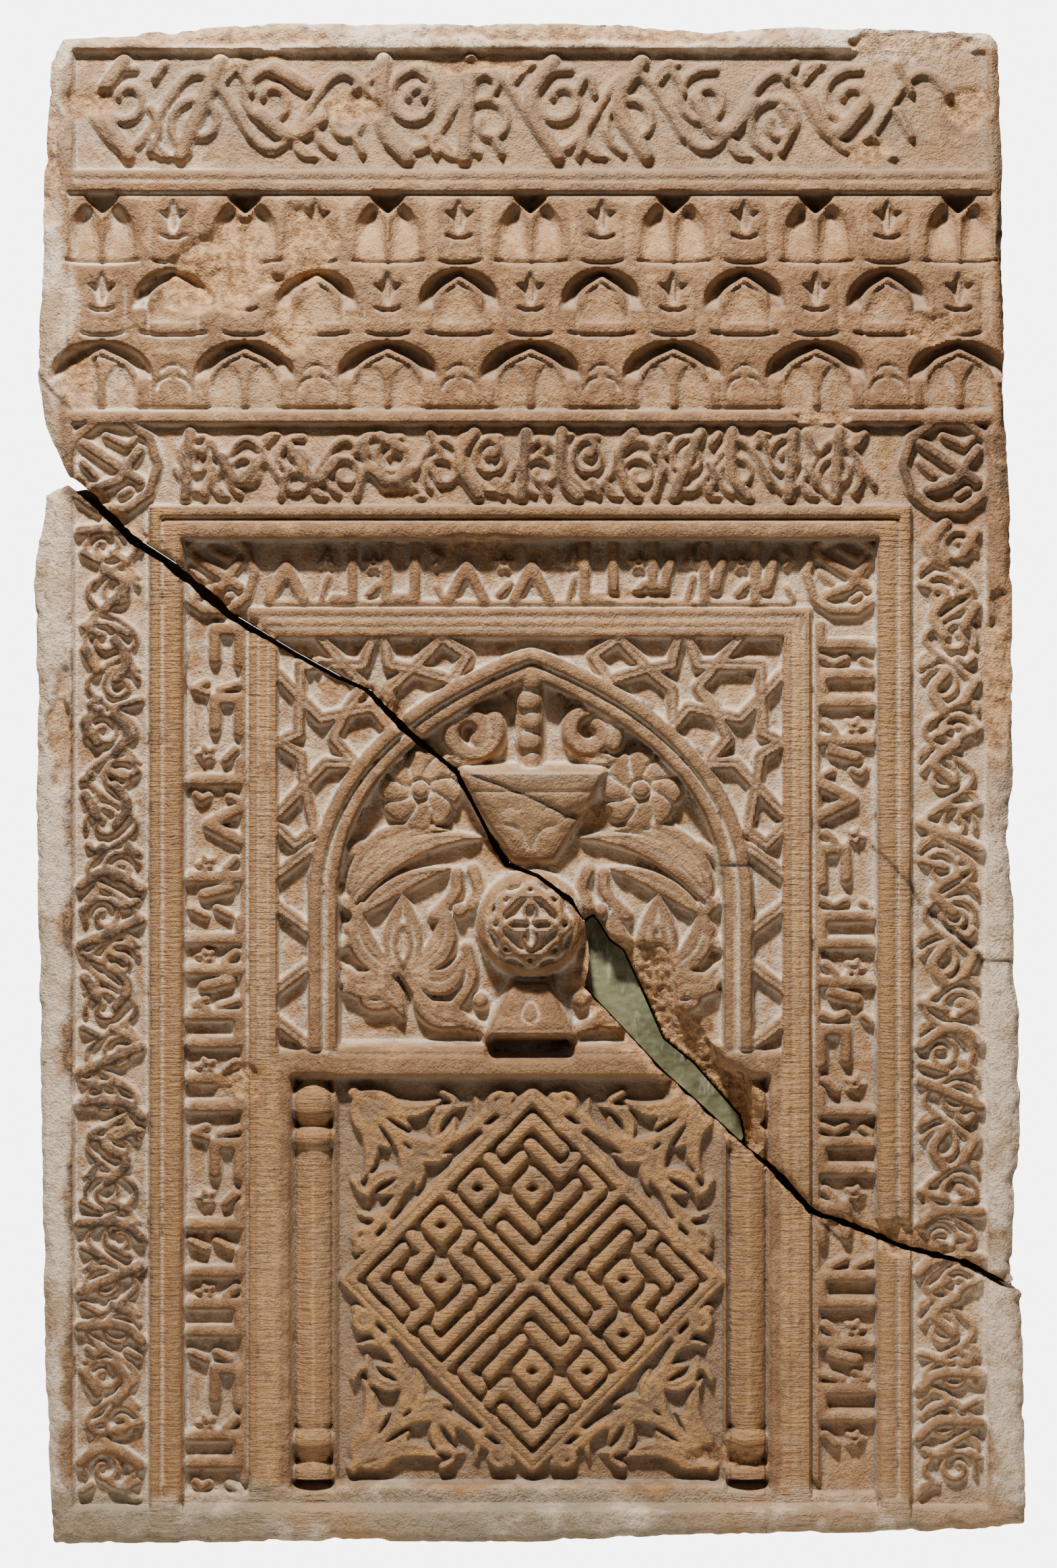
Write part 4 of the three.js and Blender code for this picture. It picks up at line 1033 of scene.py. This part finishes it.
def ring_back(bm, edges, field, share, floor, inward=0.0, onto=False):
    """Extrudes an open edge towards the back, unevenly inwards or onto a field's edge."""
    made = bmesh.ops.extrude_edge_only(bm, edges=edges)["geom"]
    verts = [g for g in made if isinstance(g, bmesh.types.BMVert)]
    x, y, z = places(verts)
    slope_z, slope_x = np.gradient(field, PITCH)
    y = -(floor + (-y - floor) * share)
    if inward:
        step = inward * (0.6 + 0.4 * sampled(noise(14), x, z))
        x, z = x + step * sampled(slope_x, x, z), z + step * sampled(slope_z, x, z)
    if onto:
        d = sampled(field, x, z)
        x, z = x - d * sampled(slope_x, x, z), z - d * sampled(slope_z, x, z)
    put(verts, x, y, z)
    return [g for g in made if isinstance(g, bmesh.types.BMEdge) and g.is_boundary]


def finished(bm, name):
    """Merges close points, scales to metres, turns the faces outwards and returns the object."""
    bmesh.ops.remove_doubles(bm, verts=bm.verts[:], dist=0.02)
    bmesh.ops.scale(bm, vec=(0.001, 0.001, 0.001), verts=bm.verts[:])
    bmesh.ops.recalc_face_normals(bm, faces=bm.faces[:])
    mesh = bpy.data.meshes.new(name)
    bm.to_mesh(mesh)
    bm.free()
    piece = bpy.data.objects.new(name, mesh)
    bpy.context.collection.objects.link(piece)
    return piece


def thinned(piece, budget):
    piece.data.calc_loop_triangles()
    count = len(piece.data.loop_triangles)
    if count > budget:
        modifier = piece.modifiers.new("thin", "DECIMATE")
        modifier.ratio = budget / count
        bpy.context.view_layer.objects.active = piece
        bpy.ops.object.modifier_apply(modifier=modifier.name)
    piece.data.calc_loop_triangles()
    print(piece.name, count, "to", len(piece.data.loop_triangles), "triangles")


def body(name, field, rest, heights, low, high, back=0.0, budget=BUDGET):
    bm = front_of(field, heights, low, high)
    edges = [e for e in bm.edges if e.is_boundary]
    for share, inward in ((0.85, 1.8), (0.65, -0.5), (0.45, 1.2), (0.25, -0.4), (0.08, 0.8)):
        edges = ring_back(bm, edges, field, share, max(back, REST_DEPTH), inward)
    for share in (1.0, 0.5, 0.0):
        edges = ring_back(bm, edges, rest, share, back, onto=True)
    bmesh.ops.triangle_fill(bm, edges=edges, use_beauty=True)
    piece = finished(bm, name)
    thinned(piece, budget)
    return piece


upper = body("upper_stone", upper_field, upper_rest, upper_heights, -540, 800)
lower = body("lower_stone", lower_field, lower_rest, H, -800, 340)
fill_heights = FACE - FILL_DROP - 1 + 1.2 * rough + 0.4 * grit
fill_field = -beyond(X, Z, fill_outline) - 0.4
fill = body("fill", fill_field, fill_field, fill_heights, -400, -110, REST_DEPTH + FILL_CLEARANCE, 20000)

# %% [markdown]
# What a surface looks like depends on its place: raised faces carry a brown patina, hollows hold dust and
# lime, the foot of each wall is painted dark as shade, fresh breaks are rough. Each such fact becomes a
# number at every vertex, read from the tables of heights.

# %% Facts for the materials
def spread(table, pick, steps=(1, 2, 3)):
    """The highest or lowest value within about 9 mm."""
    for step in steps:
        for axis in (0, 1):
            table = pick(pick(table, np.roll(table, step, axis)), np.roll(table, -step, axis))
    return table


RAISED, FOOT = {}, {}
for piece, heights in ((upper, upper_heights), (lower, H), (fill, fill_heights)):
    low, high = spread(heights, np.minimum), spread(heights, np.maximum)
    RAISED[piece.name] = np.where(high - low > 4, np.clip((heights - low) / (high - low), 0, 1), 0.5)
    # The foot of each wall: in the stone it carries lime and a dark painted shade.
    FOOT[piece.name] = np.clip((softened(heights, 5) - heights - 0.2) / 1.3, 0, 1)
strips = inside(X, Z, square)
for near, far, top in ((INNER_BAND_HALF, MOULDING_HALF, Z_LEDGE), (INNER_HALF, FRAME_HALF, Z_NICHE),
                       (COLUMN_INNER + 8, COLUMN_OUTER, Z_PANEL)):
    strips |= (np.abs(X) > near) & (np.abs(X) < far) & (Z < top)


def give(piece, name, values):
    attribute = piece.data.attributes.new(name, "FLOAT", "POINT")
    attribute.data.foreach_set("value", np.asarray(values, np.float32))


for piece, heights in ((upper, upper_heights), (lower, H), (fill, fill_heights)):
    co = np.empty(len(piece.data.vertices) * 3)
    piece.data.vertices.foreach_get("co", co)
    x, y, z = co.reshape(-1, 3).T * 1000
    surface = sampled(heights, x, z)
    give(piece, "side", np.clip((surface + y - 4) / 6, 0, 1))
    give(piece, "raised", sampled(RAISED[piece.name], x, z))
    give(piece, "foot", sampled(FOOT[piece.name], x, z))
    give(piece, "broken", sampled(BROKEN, x, z))
    give(piece, "cracked", np.clip(1 - sampled(CRACKED, x, z) / 4, 0, 1))
    give(piece, "tooled", sampled(strips * 1.0, x, z))
    rim = np.clip(1.4 - np.abs(z - (Z_NICHE - 143)) / 5, 0, 1) * (np.abs(x - 3) < 76)
    give(piece, "plaster", rim * (surface > NICHE_GROUND + 26))
print("facts given")

# %% [markdown]
# One small helper writes shader nodes as nested calls: each call makes a node, fills its inputs with
# numbers or other nodes' outputs, and hands back one output. Colours are given as they look and turned into
# linear light.

# %% Material tools
def srgb(r, g, b):
    return tuple(((c / 255 + 0.055) / 1.055) ** 2.4 for c in (r, g, b)) + (1.0,)


class Graph:
    """A node material that is written as nested calls."""

    def __init__(self, name):
        self.material = bpy.data.materials.new(name)
        self.material.use_nodes = True
        self.tree = self.material.node_tree
        self.shader = self.tree.nodes["Principled BSDF"]
        self.place = self.node("TexCoord", out="Object")

    def node(self, kind, inputs=None, out=0, **settings):
        made = self.tree.nodes.new("ShaderNode" + kind)
        for name, value in settings.items():
            setattr(made, name, value)
        for key, value in (inputs or {}).items():
            self.set(made.inputs[key], value)
        return made.outputs[out]

    def set(self, socket, value):
        if isinstance(value, bpy.types.NodeSocket):
            self.tree.links.new(value, socket)
        else:
            socket.default_value = value

    def noise(self, scale, detail=4, rough=0.55, stretch=None):
        at = self.place
        if stretch:
            at = self.node("Mapping", {"Vector": at, "Scale": stretch})
        return self.node("TexNoise", {"Vector": at, "Scale": scale, "Detail": detail, "Roughness": rough})

    def math(self, kind, a, b=0.0):
        return self.node("Math", {0: a, 1: b}, operation=kind)

    def ramp(self, value, low, high, top=1.0):
        """Zero up to low, rising smoothly to top at high."""
        return self.node("MapRange", {0: value, 1: low, 2: high, 3: 0.0, 4: top},
                         interpolation_type="SMOOTHSTEP")

    def mix(self, share, a, b):
        return self.node("Mix", {0: share, 6: a, 7: b}, out=2, data_type="RGBA")

    def fact(self, name):
        return self.node("Attribute", out="Fac", attribute_name=name)

    def chain(self, kind, values):
        result = values[0]
        for value in values[1:]:
            result = self.math(kind, result, value)
        return result

    def times(self, *values):
        return self.chain("MULTIPLY", values)

    def most(self, *values):
        return self.chain("MAXIMUM", values)


print("graph tools ready")

# %% [markdown]
# The stone starts as warm tan, cloudy at three sizes. Patina, dust, lime, soot and fresh breaks are laid
# over it one after the other, each where its fact and a patch of noise agree; the foot of each wall is
# darkened everywhere as painted shade. A fine bump gives the stone its grain.

# %% Stone
def stone(name, warm):
    g = Graph(name)
    x, y, z = (g.node("SeparateXYZ", {0: g.place}, out=i) for i in range(3))
    clouds = g.noise(3.2, 5, 0.6)
    patches = g.noise(13, 5, 0.65)
    blots = g.noise(34, 5, 0.72)
    flecks = g.noise(95, 4, 0.7)
    grains = g.noise(420, 2, 0.6)
    raised, foot, side, broken = g.fact("raised"), g.fact("foot"), g.fact("side"), g.fact("broken")
    colour = g.mix(g.ramp(clouds, 0.38, 0.62), srgb(150, 109, 68), srgb(*warm))
    colour = g.mix(g.times(g.ramp(patches, 0.42, 0.68), 0.6), colour, srgb(116, 83, 54))
    colour = g.mix(g.times(g.ramp(flecks, 0.42, 0.66), 0.5), colour, srgb(190, 155, 115))
    patina = g.times(g.ramp(raised, 0.45, 0.8), g.ramp(blots, 0.28, 0.58), 0.66)
    colour = g.mix(patina, colour, srgb(100, 67, 40))
    left = g.ramp(x, -0.24, -0.4)
    inner = g.times(g.ramp(z, 0.29, 0.2), g.ramp(z, -0.33, -0.24))
    right = g.times(g.ramp(x, 0.36, 0.39), g.ramp(z, 0.2, 0.0))
    limed = g.most(g.times(g.most(left, right), 0.75), g.times(inner, 0.7))
    limed = g.most(limed, 0.22)
    # Painted shade: the foot of each wall is darkened to dark brown to stand for the shade there.
    colour = g.mix(g.times(foot, 0.75), colour, srgb(66, 44, 27))
    lime = g.times(foot, g.ramp(blots, 0.36, 0.5), limed, 1.2)
    colour = g.mix(g.math("MINIMUM", lime, 0.9), colour, srgb(222, 205, 182))
    dusty = g.times(g.ramp(raised, 0.5, 0.3), g.ramp(g.noise(20, 5, 0.7), 0.42, 0.62), limed)
    colour = g.mix(g.times(dusty, 0.85), colour, srgb(212, 186, 157))
    banded = g.times(g.ramp(x, -0.385, -0.395), g.ramp(z, -0.75, -0.45), g.ramp(z, 0.33, 0.3))
    head = g.times(g.ramp(z, 0.285, 0.3), g.ramp(z, 0.385, 0.37), g.ramp(patches, 0.3, 0.5), 0.85)
    sooted = g.ramp(g.noise(70, 5, 0.78), 0.45, 0.53)
    soot = g.times(g.ramp(raised, 0.55, 0.75), g.most(banded, head), sooted)
    colour = g.mix(g.times(soot, 0.72), colour, srgb(50, 43, 37))
    field = g.times(g.ramp(g.math("ABSOLUTE", x), 0.24, 0.19), g.ramp(z, -0.27, -0.33))
    colour = g.mix(g.times(field, 0.45), colour, srgb(104, 86, 68))
    tooled = g.times(g.fact("tooled"), 0.7)
    golden = g.times(g.most(g.times(field, g.ramp(raised, 0.5, 0.8)), tooled), g.ramp(blots, 0.35, 0.6), 0.6)
    colour = g.mix(golden, colour, srgb(190, 142, 86))
    crown = g.times(g.ramp(z, 0.6, 0.64), g.ramp(g.noise(9, 5, 0.7), 0.3, 0.65), 0.6)
    colour = g.mix(crown, colour, srgb(124, 106, 86))
    wander = g.times(g.math("SUBTRACT", g.noise(11, 5, 0.65), 0.5), 0.09)
    pale = g.most(g.ramp(g.math("ADD", x, wander), -0.472, -0.487),
                  g.times(g.ramp(g.math("ADD", x, wander), 0.462, 0.475), g.ramp(z, 0.1, -0.1)))
    base = g.ramp(g.math("ADD", z, wander), -0.722, -0.745)
    rim = g.ramp(g.math("ADD", z, wander), 0.752, 0.768)
    pale = g.most(pale, base, rim)
    stained = g.ramp(g.noise(17, 6, 0.7), 0.44, 0.64)
    cream = g.mix(stained, srgb(228, 206, 180), g.mix(blots, srgb(150, 116, 80), srgb(190, 164, 132)))
    earthy = g.mix(g.ramp(clouds, 0.4, 0.6), srgb(126, 116, 92), srgb(160, 120, 78))
    cream = g.mix(g.times(base, g.ramp(patches, 0.3, 0.52), 0.85), cream, earthy)
    colour = g.mix(g.times(pale, g.ramp(flecks, 0.2, 0.5), 0.88), colour, cream)
    fresh = g.mix(g.ramp(flecks, 0.35, 0.65), srgb(116, 76, 42), srgb(202, 158, 108))
    colour = g.mix(g.times(broken, 0.75), colour, fresh)
    colour = g.mix(g.times(side, 0.75), colour, g.mix(patches, srgb(120, 90, 62), srgb(176, 142, 104)))
    colour = g.mix(g.times(g.fact("plaster"), g.ramp(blots, 0.35, 0.6), 0.5), colour, srgb(206, 184, 154))
    colour = g.mix(g.times(g.fact("cracked"), 0.8), colour, srgb(46, 33, 24))
    colour = g.mix(g.times(g.ramp(grains, 0.52, 0.75), 0.35), colour, srgb(88, 62, 40))
    g.set(g.shader.inputs["Base Color"], colour)
    g.set(g.shader.inputs["Roughness"], g.math("ADD", g.times(patches, 0.2), 0.72))
    marks = g.noise(1, 3, 0.6, stretch=(40, 40, 330))
    relief = g.chain("ADD", [g.times(blots, 0.8), g.times(flecks, 0.9), g.times(g.noise(210, 4, 0.65), 0.55),
                             g.times(grains, 0.25), g.times(marks, g.fact("tooled"), 1.2)])
    bump = g.node("Bump", {"Height": relief, "Distance": 0.0035, "Strength": 1.0})
    g.set(g.shader.inputs["Normal"], bump)
    return g.material


upper.data.materials.append(stone("stone_upper", (182, 143, 101)))
lower.data.materials.append(stone("stone_lower", (184, 143, 100)))

g = Graph("fill")
patches, flecks = g.noise(24, 5, 0.6), g.noise(160, 4, 0.7)
smears = g.noise(1, 5, 0.7, stretch=(60, 60, 18))
colour = g.mix(g.ramp(patches, 0.35, 0.65), srgb(74, 78, 52), srgb(122, 124, 92))
colour = g.mix(g.times(g.ramp(smears, 0.52, 0.7), 0.6), colour, srgb(176, 172, 146))
colour = g.mix(g.times(g.ramp(flecks, 0.5, 0.7), 0.45), colour, srgb(120, 92, 60))
g.set(g.shader.inputs["Base Color"], colour)
g.set(g.shader.inputs["Roughness"], 0.75)
g.set(g.shader.inputs["Normal"], g.node("Bump", {"Height": flecks, "Distance": 0.001, "Strength": 0.6}))
fill.data.materials.append(g.material)
print("materials made")

# %% [markdown]
# Last, each piece is put on the root body, and the solid it stands for is hidden. Edges sharper than
# about 45 degrees stay crisp, the flat backs are shaded flat, and the rest smoothly.

# %% Hand over
for piece, node, slot in ((upper, "upper_fragment", "stone_upper"), (lower, "lower_fragment", "stone_lower"),
                          (fill, "resin_fill", "fill")):
    piece.data.shade_smooth()
    piece.data.set_sharp_from_angle(angle=math.radians(45))
    backs = [face for face in piece.data.polygons if face.normal.y > 0.9]
    for face in backs:
        face.use_smooth = False
    print(piece.name, "has", len(backs), "faces on its back")
    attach(piece, "root")
    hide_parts(node)
